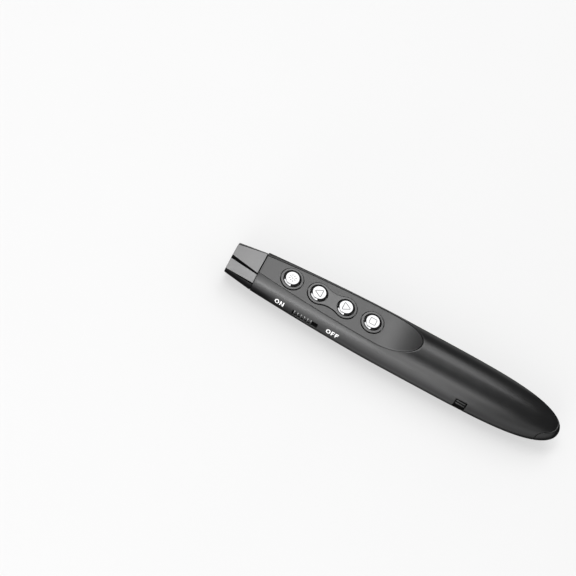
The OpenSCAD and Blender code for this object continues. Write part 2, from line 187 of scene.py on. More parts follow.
def place(me, name, body, material, replaces=(), angle=32, local=None):
    """Turns a mesh in millimetres into a piece in the row frame that rides on a body."""
    bm = bmesh.new()
    bm.from_mesh(me)
    if local is not None:
        bmesh.ops.transform(bm, matrix=local, verts=bm.verts)
    bmesh.ops.dissolve_degenerate(bm, dist=2e-4, edges=bm.edges)
    if any(len(e.link_faces) != 2 for e in bm.edges):
        bm.clear()
        bm.from_mesh(me)
    for v in bm.verts:
        v.co = Vector((v.co.x * MM, v.co.y * MM, (v.co.z + LIFT) * MM))
    for f in bm.faces:
        f.smooth = True
    out = bpy.data.meshes.new(name)
    bm.to_mesh(out)
    bm.free()
    out.set_sharp_from_angle(angle=math.radians(angle))
    ob = bpy.data.objects.new(name, out)
    bpy.context.scene.collection.objects.link(ob)
    out.materials.append(material)
    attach(ob, body)
    if replaces:
        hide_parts(*replaces)
    holes = open_edges(out)
    if holes:
        print("NOTE", name, "has", holes, "open edges")
    return ob


def arc_between(c, n1, n2, rho, steps):
    """Points of a rounding about centre c from direction n1 to n2."""
    dot = max(-1.0, min(1.0, n1.dot(n2)))
    w = math.acos(dot)
    pts = []
    for i in range(steps + 1):
        t = i / steps
        if w < 1e-4:
            d = n1.lerp(n2, t).normalized()
        else:
            d = (n1 * math.sin((1 - t) * w) + n2 * math.sin(t * w)) / math.sin(w)
        pts.append(c + d * rho)
    return pts


def rounded_edge(e, n1, n2, rho, steps=5):
    c = e - (n1 + n2) * (rho / (1 + n1.dot(n2)))
    return arc_between(c, n1, n2, rho, steps)


def end_columns(x0, sign, rho, steps=5):
    """(x, inset) pairs that round the outer edge at an end face. sign +1: the piece lies towards +X."""
    out = []
    for i in range(steps + 1):
        a = math.radians(90 * (1 - i / steps))
        out.append((x0 + sign * rho * (1 - math.sin(a)), -rho * (1 - math.cos(a))))
    return out if sign > 0 else list(reversed(out))


def revolve(profile, segments=96, axis="X", closed_profile=True):
    """profile: (radius, station) pairs. Points on the axis may be given with radius 0."""
    s = Shape()
    rings = []
    for r, h in profile:
        pts = []
        for k in range(segments):
            a = 2 * math.pi * k / segments
            if axis == "X":
                pts.append((h, r * math.sin(a), r * math.cos(a)))
            else:
                pts.append((r * math.cos(a), r * math.sin(a), h))
        rings.append(s.ring(pts))
    pairs = list(zip(rings, rings[1:]))
    if closed_profile and profile[0][0] > 1e-6:
        pairs.append((rings[-1], rings[0]))
    for a, b in pairs:
        s.strip(a, b, True)
    return s.mesh("revolved")


def solid_body(x0, x1, grow, step=1.4, segments=96):
    """Solid of revolution that follows the pen between two stations."""
    n = max(2, int((x1 - x0) / step))
    prof = [(0.0, x0)]
    for i in range(n + 1):
        x = x0 + (x1 - x0) * i / n
        prof.append((max(0.0, outer_r(max(JOINT, x)) + grow), x))
    prof.append((0.0, x1))
    return revolve(prof, segments, "X")


def box_mesh(lo, hi):
    s = Shape()
    (x0, y0, z0), (x1, y1, z1) = lo, hi
    s.loft([[(x0, y0, z), (x1, y0, z), (x1, y1, z), (x0, y1, z)] for z in (z0, z1)])
    return s.mesh("box")


def rounded_outline(corners, radius, steps=5):
    """Points and outward normals round a convex or concave polygon given counter-clockwise."""
    pts, nrm = [], []
    n = len(corners)
    rad = radius if isinstance(radius, (list, tuple)) else [radius] * n
    for i in range(n):
        p, q, r = Vector(corners[i - 1]), Vector(corners[i]), Vector(corners[(i + 1) % n])
        a, b = (q - p).normalized(), (r - q).normalized()
        na, nb = Vector((a.y, -a.x)), Vector((b.y, -b.x))
        turn = a.x * b.y - a.y * b.x
        rho = rad[i]
        if turn >= 0:
            c = q - (na + nb) * (rho / (1 + na.dot(nb)))
            for d in arc_between(Vector((0, 0)), na, nb, 1.0, steps):
                pts.append(c + d * rho)
                nrm.append(d.copy())
        else:
            c = q + (na + nb) * (rho / (1 + na.dot(nb)))
            for d in arc_between(Vector((0, 0)), na, nb, 1.0, steps):
                pts.append(c - d * rho)
                nrm.append(d.copy())
    return pts, nrm


def flare(rho, deep, out=0.4, steps=5):
    """(spread, depth) pairs of a cutter whose mouth is rounded to radius rho."""
    prof = [(rho * 0.86, -out)]
    for i in range(steps + 1):
        a = math.radians(80 * (1 - i / steps))
        prof.append((rho - rho * math.cos(a), rho - rho * math.sin(a)))
    prof.append((0.0, deep))
    return prof


def cutter(outline, normals, profile, to3d):
    s = Shape()
    s.loft([[to3d(p.x + n.x * e, p.y + n.y * e, d) for p, n in zip(outline, normals)] for e, d in profile])
    return s.mesh("cutter")


def wall_point(side, deep_y):
    """Maps (x, z, depth) onto the round wall on one side, between flat ends outside it and at deep_y."""
    def f(x, z, d):
        y = math.sqrt(max(0.04, outer_r(x) ** 2 - z * z)) - d
        if d > 0.5:
            y = deep_y
        if d < -0.1:
            y = 14.0
        return (x, side * y, z)
    return f


def dense(outline, normals, step=0.4):
    """The same outline with points added along its long edges."""
    pts, nrm = [], []
    for i in range(len(outline)):
        p, q = outline[i], outline[(i + 1) % len(outline)]
        a, b = normals[i], normals[(i + 1) % len(outline)]
        n = max(1, int((q - p).length / step))
        for k in range(n):
            t = k / n
            pts.append(p.lerp(q, t))
            nrm.append(a.lerp(b, t).normalized())
    return pts, nrm


def pillow(outline, normals, z0, z1, rho, steps=5, low_rho=0.0):
    """Plate with a rounded top edge: the outline drawn in the XY plane, from z0 up to z1."""
    s = Shape()
    rings = []
    if low_rho > 0:
        for i in range(steps + 1):
            a = math.radians(90 * (1 - i / steps))
            rings.append((-low_rho * (1 - math.cos(a)), z0 + low_rho * (1 - math.sin(a))))
    else:
        rings.append((0.0, z0))
    for i in range(steps + 1):
        a = math.radians(90 * i / steps)
        rings.append((-rho * (1 - math.cos(a)), z1 - rho * (1 - math.sin(a))))
    s.loft([[(p.x + n.x * e, p.y + n.y * e, z) for p, n in zip(outline, normals)] for e, z in rings])
    return s.mesh("pillow")


def edge_wedges(points, n1s, n2s, rho, steps=4, lift=0.004):
    """A tube whose removal rounds the edge that runs through points, between faces with outward normals n1 and n2."""
    s = Shape()
    rings = []
    for e, n1, n2 in zip(points, n1s, n2s):
        arc = rounded_edge(e, n1, n2, rho, steps)
        ring = [arc[0] + n1 * lift] + arc[1:-1] + [arc[-1] + n2 * lift]
        ring += [e + n2 * rho * 0.7, e + (n1 + n2) * rho * 0.7, e + n1 * rho * 0.7]
        rings.append(ring)
    s.loft(rings)
    return s.mesh("wedges")


# ---- materials -------------------------------------------------------------

def node(tree, kind, **props):
    n = tree.nodes.new(kind)
    for k, v in props.items():
        setattr(n, k, v)
    return n


def surface(name, base, rough, metallic=0.0, spec=0.5, spread=0.12, grain=(9.0, 0.12), blotch=0.6,
            rough_var=0.06, bump=(14.0, 0.02), coat=0.0, coat_rough=0.1, edge=0.0, edge_tint=None,
            brushed=None, tint2=None, ior=1.5):
    """A Principled material with colour variation, roughness variation, fine bump and edge wear.
    Scales are in features per millimetre."""
    m = bpy.data.materials.new(name)
    m.use_nodes = True
    t = m.node_tree
    t.nodes.clear()
    out = node(t, "ShaderNodeOutputMaterial")
    p = node(t, "ShaderNodeBsdfPrincipled")
    t.links.new(p.outputs["BSDF"], out.inputs["Surface"])
    p.inputs["Metallic"].default_value = metallic
    p.inputs["Specular IOR Level"].default_value = spec
    p.inputs["IOR"].default_value = ior
    if coat:
        p.inputs["Coat Weight"].default_value = coat
        p.inputs["Coat Roughness"].default_value = coat_rough
    co = node(t, "ShaderNodeTexCoord")
    mp = node(t, "ShaderNodeMapping")
    mp.inputs["Scale"].default_value = (1000, 1000, 1000) if not brushed else tuple(1000 * b for b in brushed)
    t.links.new(co.outputs["Object"], mp.inputs["Vector"])
    plain = node(t, "ShaderNodeMapping")
    plain.inputs["Scale"].default_value = (1000, 1000, 1000)
    t.links.new(co.outputs["Object"], plain.inputs["Vector"])
    # large soft blotches and fine grain for the colour
    big = node(t, "ShaderNodeTexNoise")
    big.inputs["Scale"].default_value = blotch
    big.inputs["Detail"].default_value = 3
    t.links.new(plain.outputs["Vector"], big.inputs["Vector"])
    fine = node(t, "ShaderNodeTexNoise")
    fine.inputs["Scale"].default_value = grain[0]
    fine.inputs["Detail"].default_value = 2
    t.links.new(mp.outputs["Vector"], fine.inputs["Vector"])
    mixf = node(t, "ShaderNodeMix", data_type="FLOAT")
    mixf.inputs[0].default_value = grain[1] / (grain[1] + spread) if grain[1] + spread > 0 else 0.5
    t.links.new(big.outputs["Fac"], mixf.inputs[2])
    t.links.new(fine.outputs["Fac"], mixf.inputs[3])
    ramp = node(t, "ShaderNodeMapRange")
    ramp.inputs["From Min"].default_value = 0.3
    ramp.inputs["From Max"].default_value = 0.7
    t.links.new(mixf.outputs[0], ramp.inputs["Value"])
    lo = [c * (1 - spread) for c in base]
    hi = [min(1.0, c * (1 + spread)) for c in (tint2 or base)]
    col = node(t, "ShaderNodeMix", data_type="RGBA")
    col.inputs[6].default_value = (*lo, 1)
    col.inputs[7].default_value = (*hi, 1)
    t.links.new(ramp.outputs["Result"], col.inputs[0])
    colour = col.outputs[2]
    if edge:
        geo = node(t, "ShaderNodeNewGeometry")
        worn = node(t, "ShaderNodeMapRange")
        worn.inputs["From Min"].default_value = 0.52
        worn.inputs["From Max"].default_value = 0.62
        worn.inputs["To Max"].default_value = edge
        t.links.new(geo.outputs["Pointiness"], worn.inputs["Value"])
        tint = edge_tint or [min(1.0, c * 2.2 + 0.01) for c in base]
        ec = node(t, "ShaderNodeMix", data_type="RGBA")
        t.links.new(worn.outputs["Result"], ec.inputs[0])
        t.links.new(colour, ec.inputs[6])
        ec.inputs[7].default_value = (*tint, 1)
        colour = ec.outputs[2]
    t.links.new(colour, p.inputs["Base Color"])
    rr = node(t, "ShaderNodeMapRange")
    rr.inputs["From Min"].default_value = 0.3
    rr.inputs["From Max"].default_value = 0.7
    rr.inputs["To Min"].default_value = max(0.02, rough - rough_var)
    rr.inputs["To Max"].default_value = min(1.0, rough + rough_var)
    t.links.new(mixf.outputs[0], rr.inputs["Value"])
    t.links.new(rr.outputs["Result"], p.inputs["Roughness"])
    if bump and bump[1] > 0:
        bn = node(t, "ShaderNodeTexNoise")
        bn.inputs["Scale"].default_value = bump[0]
        bn.inputs["Detail"].default_value = 3
        t.links.new(mp.outputs["Vector"], bn.inputs["Vector"])
        bp = node(t, "ShaderNodeBump")
        bp.inputs["Strength"].default_value = bump[1]
        bp.inputs["Distance"].default_value = 0.00005
        t.links.new(bn.outputs["Fac"], bp.inputs["Height"])
        t.links.new(bp.outputs["Normal"], p.inputs["Normal"])
    return m


def glass(name, colour, rough=0.05):
    m = surface(name, colour, rough, spec=0.5, spread=0.05, grain=(6, 0.03), rough_var=0.03, bump=(4.0, 0.01))
    p = next(n for n in m.node_tree.nodes if n.type == "BSDF_PRINCIPLED")
    p.inputs["Transmission Weight"].default_value = 0.85
    return m


M = {
    "shell": surface("soft_black_paint", (0.005, 0.005, 0.0052), 0.33, spread=0.10, grain=(7.0, 0.10), blotch=0.25,
                     rough_var=0.03, bump=(9.0, 0.05), edge=0.35),
    "under": surface("soft_black_paint_under", (0.005, 0.005, 0.0052), 0.34, spread=0.10, grain=(7.0, 0.10), blotch=0.25,
                     rough_var=0.03, bump=(8.0, 0.06), edge=0.35),
    "panel": surface("satin_grey_panel", (0.0085, 0.0085, 0.0087), 0.36, spec=0.55, spread=0.07, grain=(10.0, 0.12),
                     blotch=0.3, rough_var=0.03, bump=(10.0, 0.05), edge=0.4),
    "collar": surface("satin_grey_collar", (0.010, 0.010, 0.0102), 0.30, spec=0.6, spread=0.07, grain=(10.0, 0.1),
                      blotch=0.5, rough_var=0.03, bump=(10.0, 0.04), edge=0.4),
    "nose_black": surface("nose_black", (0.004, 0.004, 0.0042), 0.36, spec=0.35, spread=0.15, grain=(8.0, 0.1), blotch=0.6,
                          rough_var=0.05, bump=(8.0, 0.05), edge=0.3),
    # painted shade: a near-black, nearly glossless finish put on faces that lie in shade in grooves and cavities
    "painted_shade": surface("painted_shade_black", (0.002, 0.002, 0.002), 0.6, spec=0.05, spread=0.15, grain=(8.0, 0.1), blotch=0.6,
                      rough_var=0.05, bump=(8.0, 0.05)),
    "silver": surface("silver_paint", (0.113, 0.1124, 0.113), 0.44, metallic=0.3, spread=0.05, grain=(14.0, 0.12),
                      blotch=0.4, rough_var=0.03, bump=(14.0, 0.06), edge=0.35, edge_tint=(0.25, 0.25, 0.25)),
    "chrome": surface("bright_chrome", (0.21, 0.21, 0.212), 0.10, metallic=1.0, spread=0.03, grain=(8.0, 0.05),
                      blotch=0.5, rough_var=0.02, bump=(5.0, 0.004)),
    "mark": surface("key_symbol_grey", (0.10, 0.10, 0.10), 0.5, spec=0.4, spread=0.12, grain=(16.0, 0.2),
                    rough_var=0.05, bump=(16.0, 0.05)),
    "letter": surface("white_pad_print", (0.80, 0.80, 0.80), 0.55, spread=0.05, grain=(18.0, 0.1), rough_var=0.05,
                      bump=(16.0, 0.08)),
    "knob": surface("gloss_black_knob", (0.007, 0.007, 0.0073), 0.26, spec=1.0, spread=0.15, grain=(8.0, 0.1), blotch=0.8,
                    rough_var=0.05, bump=(6.0, 0.02), edge=0.3),
    "window": glass("red_laser_window", (0.45, 0.02, 0.03), 0.06),
    "lens": glass("clear_lens", (0.85, 0.93, 0.95), 0.02),
    "brass": surface("turned_brass", (0.69, 0.52, 0.26), 0.24, metallic=1.0, spread=0.08, grain=(6.0, 0.2),
                     brushed=(6, 0.4, 0.4), rough_var=0.07, bump=(3.0, 0.08), edge=0.3, edge_tint=(0.85, 0.7, 0.4)),
    "steel": surface("nickel_plate", (0.60, 0.60, 0.61), 0.28, metallic=1.0, spread=0.06, grain=(8.0, 0.2),
                     rough_var=0.07, bump=(9.0, 0.05), edge=0.3, edge_tint=(0.8, 0.8, 0.8)),
    "spring": surface("spring_wire", (0.58, 0.59, 0.60), 0.22, metallic=1.0, spread=0.08, grain=(8.0, 0.2),
                      rough_var=0.05, bump=(9.0, 0.05)),
    "plug": surface("plug_shell_steel", (0.58, 0.59, 0.60), 0.26, metallic=1.0, spread=0.06, grain=(3.0, 0.2),
                    brushed=(0.15, 3, 3), rough_var=0.08, bump=(3.0, 0.10), edge=0.4, edge_tint=(0.8, 0.8, 0.8)),
    "board": surface("solder_mask", (0.012, 0.10, 0.045), 0.30, spread=0.25, grain=(3.0, 0.3), blotch=1.2,
                     tint2=(0.02, 0.16, 0.07), rough_var=0.08, bump=(5.0, 0.08), coat=0.3),
    "ic": surface("moulded_epoxy", (0.02, 0.02, 0.021), 0.5, spread=0.12, grain=(20.0, 0.2), rough_var=0.06,
                  bump=(18.0, 0.15), edge=0.3),
    "ceramic": surface("ceramic_parts", (0.28, 0.22, 0.15), 0.45, spread=0.2, grain=(6.0, 0.2), blotch=2.0,
                       rough_var=0.08, bump=(12.0, 0.1)),
    "chassis": surface("moulded_chassis", (0.03, 0.03, 0.033), 0.48, spread=0.1, grain=(8.0, 0.15), blotch=0.5,
                       rough_var=0.05, bump=(7.0, 0.12), edge=0.4),
    "cell": surface("cell_sleeve", (0.02, 0.07, 0.16), 0.22, spread=0.1, grain=(8.0, 0.1), blotch=0.5,
                    rough_var=0.05, bump=(5.0, 0.03), coat=0.5, coat_rough=0.08),
    "wire": surface("wire_insulation", (0.36, 0.025, 0.025), 0.38, spread=0.1, grain=(8.0, 0.1), rough_var=0.05,
                    bump=(8.0, 0.05)),
    "foam": surface("closed_cell_foam", (0.035, 0.035, 0.04), 0.85, spread=0.3, grain=(6.0, 0.4), blotch=2.0,
                    rough_var=0.08, bump=(5.0, 0.6)),
    "tongue": surface("white_tongue", (0.74, 0.74, 0.71), 0.4, spread=0.04, grain=(8.0, 0.1), rough_var=0.05,
                      bump=(8.0, 0.05), edge=0.2, edge_tint=(0.85, 0.85, 0.83)),
    "gold": surface("gold_flash", (0.78, 0.57, 0.22), 0.2, metallic=1.0, spread=0.06, grain=(8.0, 0.1),
                    rough_var=0.05, bump=(8.0, 0.03)),
}

# ---- upper shell -----------------------------------------------------------

EDGE_RHO = 0.18


def u_columns(x0, rho_end=0.15):
    """Stations along the keypad's edge, from the nose joint to the end of the scoop."""
    cols = end_columns(x0, 1, rho_end)
    n = 34
    a = x0 + rho_end
    cols += [(a + (-10 - a) * (i + 1) / n, 0.0) for i in range(n)]
    m = 44
    cols += [(SCOOP_END - (SCOOP_END + 10) * (1 - (i + 1) / m) ** 2, 0.0) for i in range(m)]
    return cols


def keypad_edge(x, g):
    """Edge point on the +Y side, the body's and the keypad surface's normals, and the inward direction in plan."""
    y = half_w(x, g)
    z = facet_z(x) + g
    r = outer_r(x) + g
    flat = x < -10
    n1 = Vector((0 if flat else -slope_r(x), y / r, z / r)).normalized()
    n2 = Vector((-slope_f(x), 0, 1)).normalized()
    if SCOOP_END - x < 1e-6:
        y, t = 0.0, Vector((0, -1))
    else:
        t = Vector((1, (half_w(x + 1e-4, g) - half_w(x - 1e-4, g)) / 2e-4)).normalized()
    inward = Vector((t.y, -t.x))
    if flat:
        inward = Vector((0, -1))
    elif x < -8:
        k = (x + 10) / 2
        inward = Vector((0, -1)).lerp(inward, k).normalized()
    return Vector((x, y, z)), n1, n2, inward


def share_y(inward):
    return inward.y ** 2


def build_upper_outer():
    s = Shape()
    rings = []
    for x, g in u_columns(JOINT):
        e, n1, n2, inw = keypad_edge(x, g)
        fil = rounded_edge(e, n1, n2, EDGE_RHO + 1.0 * (1 - share_y(inw)), 5)
        last = SCOOP_END - x < 1e-6
        if last:
            for q in fil:
                q.y = 0.0
        x1 = x if x < -10 else fil[0].x
        r1 = outer_r(x1) + g
        phi1 = math.atan2(fil[0].y, fil[0].z)
        inset = 0.09 + 0.11 * share_y(inw) + 0.35 * (1 - share_y(inw))
        q = Vector((e.x + inw.x * inset, e.y + inw.y * inset))
        if last:
            q.y = 0.0
        if x < -10:
            for f in fil:
                f.x = x
            q.x = x
        q_top = Vector((q.x, max(0.0, q.y), facet_z(q.x) + g))
        q_low = Vector((q.x, max(0.0, q.y), facet_low(q.x)))
        half = part_rows(x1, r1, phi1, PART_Z - g)
        half += fil[1:]
        half += [fil[-1].lerp(q_top, 0.5), q_top, q_top.lerp(q_low, 0.5), q_low]
        k = 5
        floor = [Vector((q_low.x, q_low.y * (1 - 2 * i / k), q_low.z)) for i in range(1, k)]
        mirror = [Vector((p.x, -p.y, p.z)) for p in reversed(half)]
        rings.append((half, floor, mirror))
    ids = []
    for half, floor, mirror in rings:
        ids.append((s.ring(half), s.ring(floor), s.ring(mirror)))
    loops = [a + b + c for a, b, c in ids]
    for a, b in zip(loops, loops[1:]):
        s.strip(a, b, True)
    s.f.append(tuple(reversed(loops[0])))
    # behind the scoop: full sections over the top
    x1 = rings[-1][0][ROWS + 4].x
    n_body = ROWS + 5
    prev_a, prev_c = ids[-1][0][:n_body], ids[-1][2][-n_body:]
    n = 74
    a0 = math.asin(x1 / TIP)
    a1 = math.asin(71.5 / TIP)
    for i in range(1, n + 1):
        x = TIP * math.sin(a0 + (a1 - a0) * i / n)
        half = part_rows(x, outer_r(x), 0.0, PART_Z)
        a = s.ring(half)
        c = s.ring([Vector((p.x, -p.y, p.z)) for p in reversed(half)])
        s.strip(prev_a, a)
        s.strip(prev_c, c)
        s.f.append((prev_c[-1], prev_a[0], a[0], c[-1]))
        prev_a, prev_c = a, c
    s.f.append(tuple(prev_a + prev_c[1:]))
    return s.mesh("upper_outer")


ROWS = 32


def part_rows(x, r, phi_top, z_low, rho=0.12):
    """From the parting edge, rounded, up the +Y side of a section to the angle phi_top. ROWS + 5 points."""
    low = max(z_low, -0.866 * r)
    phi = math.acos(max(-1.0, min(1.0, low / r)))
    e = Vector((x, r * math.sin(phi), low))
    n1 = Vector((0, math.sin(phi), math.cos(phi)))
    n2 = Vector((0, 0, -1))
    fil = rounded_edge(e, n2, n1, min(rho, 0.2 * r), 4)
    ph0 = math.atan2(fil[-1].y, fil[-1].z)
    pts = list(fil)
    for i in range(1, ROWS + 1):
        p = ph0 + (phi_top - ph0) * i / ROWS
        pts.append(Vector((x, r * math.sin(p), r * math.cos(p))))
    return pts


def cap_outline(grow):
    """Side view (x, z) of the receiver cap's upper boundary, from its front foot round its corner to the tail."""
    cx, cz = CAP_X + CAP_R - grow, CAP_TOP - CAP_R + grow
    pts = [(cx - CAP_R, -16.0), (cx - CAP_R, cz)]
    for i in range(1, 11):
        a = math.radians(180 - 90 * i / 10)
        pts.append((cx + CAP_R * math.cos(a), cz + CAP_R * math.sin(a)))
    pts.append((80.0, cz + CAP_R))
    return pts


def build_upper_shell():
    me = build_upper_outer()
    inner = solid_body(JOINT - 1, 60, -1.6, 2.0, 72)
    cuts = [inner]
    # power slot
    o, n = rounded_outline([(-41.3, -0.95), (-30.1, -0.95), (-30.1, 2.15), (-41.3, 2.15)], 0.4)
    cuts.append(cutter(*dense(o, n), flare(0.12, 9), wall_point(-1, 6.0)))
    for side in (-1, 1):
        o, n = rounded_outline([(30.1, -6.4), (35.0, -6.4), (35.0, 3.4), (30.1, 3.4)], [0.05, 0.05, 0.3, 0.3])
        cuts.append(cutter(*dense(o, n), flare(0.09, 9), wall_point(side, 6.7)))
        o, n = rounded_outline([(-4.3, -6.4), (0.3, -6.4), (0.3, -4.1), (-4.3, -4.1)], [0.05, 0.05, 0.25, 0.25])
        cuts.append(cutter(*dense(o, n), flare(0.1, 9), wall_point(side, 6.0)))
    # plug bay and the receiver's cap
    cuts.append(box_mesh((CAP_X - 12.35, -6.12, -2.37), (CAP_X + 2.65, 6.12, 2.37)))
    s = Shape()
    prof = cap_outline(0.25) + [(80.0, -16.0)]
    s.loft([[(x, y, z) for x, z in prof] for y in (-15.0, 15.0)])
    cuts.append(s.mesh("cap_space"))
    pts, a, b = [], [], []
    cx, cz = CAP_X + CAP_R - 0.25, CAP_TOP - CAP_R + 0.25
    seam = [(cx - CAP_R, PART_Z - 1 + 0.45 * i) for i in range(18)]
    seam = [p for p in seam if p[1] < cz - 0.1] + cap_outline(0.25)[1:-1]
    lip = cz + CAP_R
    xs = [cx + 0.35 * i for i in range(1, 14)]
    xs = [x for x in xs if outer_r(x) > lip + 0.25]
    seam += [(x, lip) for x in xs]
    for x, z in seam:
        r = outer_r(x)
        y = math.sqrt(max(0.0, r * r - z * z))
        pts.append(Vector((x, y, z)))
    # round the tip, across the end of the lip
    x_end = xs[-1]
    w_end = pts[-1].y
    x_tip = x_end
    while outer_r(x_tip) > lip:
        x_tip += 0.002
    for i in range(1, 7):
        t = i / 6
        y = w_end * (1 - t)
        lo, hi = x_end, x_tip
        for _ in range(30):
            mid = (lo + hi) / 2
            if outer_r(mid) ** 2 - lip * lip > y * y:
                lo = mid
            else:
                hi = mid
        pts.append(Vector((lo, y, lip)))
    full = pts + [Vector((p.x, -p.y, p.z)) for p in reversed(pts[:-1])]
    for p in full:
        r = math.hypot(p.y, p.z)
        a.append(Vector((-slope_r(min(p.x, 71.0)), p.y / r, p.z / r)).normalized())
        if p.x < cx - CAP_R + 0.001:
            b.append(Vector((1, 0, 0)))
        elif p.x < cx - 0.001:
            b.append(Vector((cx - p.x, 0, cz - p.z)).normalized())
        else:
            b.append(Vector((0, 0, -1)))
    cuts.append(edge_wedges(full, a, b, 0.1))
    for c in cuts:
        me = boolean(me, c)
    return me


# ---- lower shells, battery cover and receiver cap --------------------------

LOW_ROWS = 26


def low_section(x, g, top, rho=0.12):
    """Section of a piece of the underside below the height top, with the belly flat. Closed ring."""
    r = outer_r(x) + g
    t = min(top + g, r * 0.9999)
    belly = BELLY - g
    if r < 1e-4:
        return [Vector((x, 0, 0))] * (2 * (5 + LOW_ROWS + 3) + 4 + 5)
    rho = min(rho, 0.2 * r)
    phi = math.acos(max(-1.0, min(1.0, t / r)))
    e = Vector((x, r * math.sin(phi), t))
    n1 = Vector((0, math.sin(phi), math.cos(phi)))
    up = Vector((0, 0, 1))
    fil = rounded_edge(e, up, n1, rho, 4)
    ph0 = math.atan2(fil[-1].y, fil[-1].z)
    if r > -belly:
        pb = math.acos(belly / r)
        nb = Vector((0, math.sin(pb), math.cos(pb)))
        be = Vector((x, r * math.sin(pb), belly))
        bf = rounded_edge(be, nb, Vector((0, 0, -1)), min(0.5, (r + belly) * 2.0), 2)
        pb = math.atan2(bf[0].y, bf[0].z)
    else:
        pb = math.pi
        bf = [Vector((x, 0, -r))] * 3
    half = list(fil)
    for i in range(1, LOW_ROWS + 1):
        p = ph0 + (pb - ph0) * i / LOW_ROWS
        half.append(Vector((x, r * math.sin(p), r * math.cos(p))))
    half[-1] = bf[0]
    half += bf[1:]
    w = bf[-1].y
    flat = [Vector((x, w * (1 - 2 * i / 4), bf[-1].z)) for i in range(1, 4)]
    mirror = [Vector((p.x, -p.y, p.z)) for p in reversed(half)]
    w = fil[0].y
    topline = [Vector((x, -w * (1 - 2 * i / 6), fil[0].z)) for i in range(1, 6)]
    return half + flat + mirror + topline


def underside(x0, x1, top, step=1.4, rho_end=0.12, top_fn=None, extra=()):
    cols = end_columns(x0, 1, rho_end)
    n = max(2, int((x1 - x0) / step))
    xs = sorted([x0 + rho_end + (x1 - x0 - 2 * rho_end) * i / n for i in range(1, n)] + list(extra))
    cols += [(x, 0.0) for x in xs]
    cols += end_columns(x1, -1, rho_end)
    s = Shape()
    s.loft([low_section(x, g, top_fn(x) if top_fn else top) for x, g in cols])
    return s.mesh("underside")


def screw_hole(x, seat):
    """Cutter for a screw's recess, flared at the belly, with its clearance hole."""
    r = outer_r(x)
    low = max(-r, BELLY)
    prof = [(0.0, low - 3), (2.1 + 0.13, low - 3), (2.1 + 0.13, low - 0.02)]
    for i in range(6):
        a = math.radians(80 * (1 - i / 5))
        prof.append((2.1 + 0.15 - 0.15 * math.cos(a), low + 0.15 - 0.15 * math.sin(a)))
    prof += [(2.1, seat), (1.1, seat), (1.1, -4.0), (0.0, -4.0)]
    me = revolve(prof, 64, "Z")
    for v in me.vertices:
        v.co.x += x
    return me


def build_lower_front():
    me = underside(JOINT, -4.08, PART_Z)
    me = boolean(me, solid_body(JOINT - 1, -3.7, -1.6, 2.0, 72))
    lip = revolve([(8.05, -6.2), (9.07, -6.2), (9.07, -4.75), (8.77, -4.5), (8.77, -2.75), (8.67, -2.65), (8.05, -2.65)],
                  128, "X")
    lip = boolean(lip, box_mesh((-8, -12, PART_Z - 0.3), (0, 12, 12)))
    me = boolean(me, lip, "UNION")
    for x, seat in ((-47.0, -8.0), (-14.0, -8.7)):
        pad = revolve([(0, -9.0), (3.0, -9.0), (3.0, seat + 0.75), (2.75, seat + 1.0), (0, seat + 1.0)], 48, "Z")
        for v in pad.vertices:
            v.co.x += x
        pad = boolean(pad, solid_body(x - 5, x + 5, -0.8, 1.0, 72), "INTERSECT")
        me = boolean(me, pad, "UNION")
        me = boolean(me, screw_hole(x, seat))
    return me


def build_lower_tail():
    me = underside(38.17, CAP_X - 0.2, PART_Z, step=1.0)
    me = boolean(me, solid_body(37.3, 60, -1.6, 1.5, 72))
    pad = revolve([(0, -9.0), (3.0, -9.0), (3.0, -7.85), (2.75, -7.6), (0, -7.6)], 48, "Z")
    for v in pad.vertices:
        v.co.x += 47.5
    pad = boolean(pad, solid_body(42.5, 52.5, -0.8, 1.0, 72), "INTERSECT")
    me = boolean(me, pad, "UNION")
    return boolean(me, screw_hole(47.5, -8.6))


def hook(side):
    """Spring arm and its ribbed press tab, as it shows in the catch window. Returns the meshes to be joined."""
    x0, x1 = 30.4, 34.75
    stem = box_mesh((x0, min(side * 7.4, side * 8.5), -7.0), (x1, max(side * 7.4, side * 8.5), 2.4))
    stem = boolean(stem, solid_body(26, 42, -0.35, 0.8, 96), "INTERSECT")
    o, n = rounded_outline([(x0, -0.35), (x1, -0.35), (x1, 2.45), (x0, 2.45)], 0.2, 4)
    head = Shape()
    head.loft([[(p.x, side * y, p.y) for p in o] for y in (8.0, 11.5)])
    head = boolean(head.mesh("head"), solid_body(26, 42, -0.85, 0.8, 96), "INTERSECT")
    parts = [stem, head]
    for z, face in ((0.33, 10.1), (1.73, 9.8)):
        o, n = rounded_outline([(x0 + 0.1, z - 0.46), (x1 - 0.1, z - 0.46), (x1 - 0.1, z + 0.46), (x0 + 0.1, z + 0.46)],
                               0.3, 5)
        s = Shape()
        rings = [(0.0, face - 1.2)]
        for i in range(6):
            a = math.radians(90 * i / 5)
            rings.append((-0.22 * (1 - math.cos(a)), face - 0.22 * (1 - math.sin(a))))
        s.loft([[(p.x + q.x * e, side * y, p.y + q.y * e) for p, q in zip(o, n)] for e, y in rings])
        parts.append(s.mesh("rib"))
    return parts


def build_cover():
    me = underside(-3.9, 38.0, COVER_Z)
    ears = underside(-3.9, -0.1, -4.3, step=0.6)
    me = boolean(me, ears, "UNION")
    me = boolean(me, solid_body(-4.7, 39.0, -1.6, 2.0, 72))
    for side in (-1, 1):
        for part in hook(side):
            me = boolean(me, part, "UNION")
    return me


def cap_top(x):
    if x >= CAP_X + CAP_R:
        return CAP_TOP
    return CAP_TOP - CAP_R + math.sqrt(max(0.0, CAP_R ** 2 - (CAP_X + CAP_R - x) ** 2))


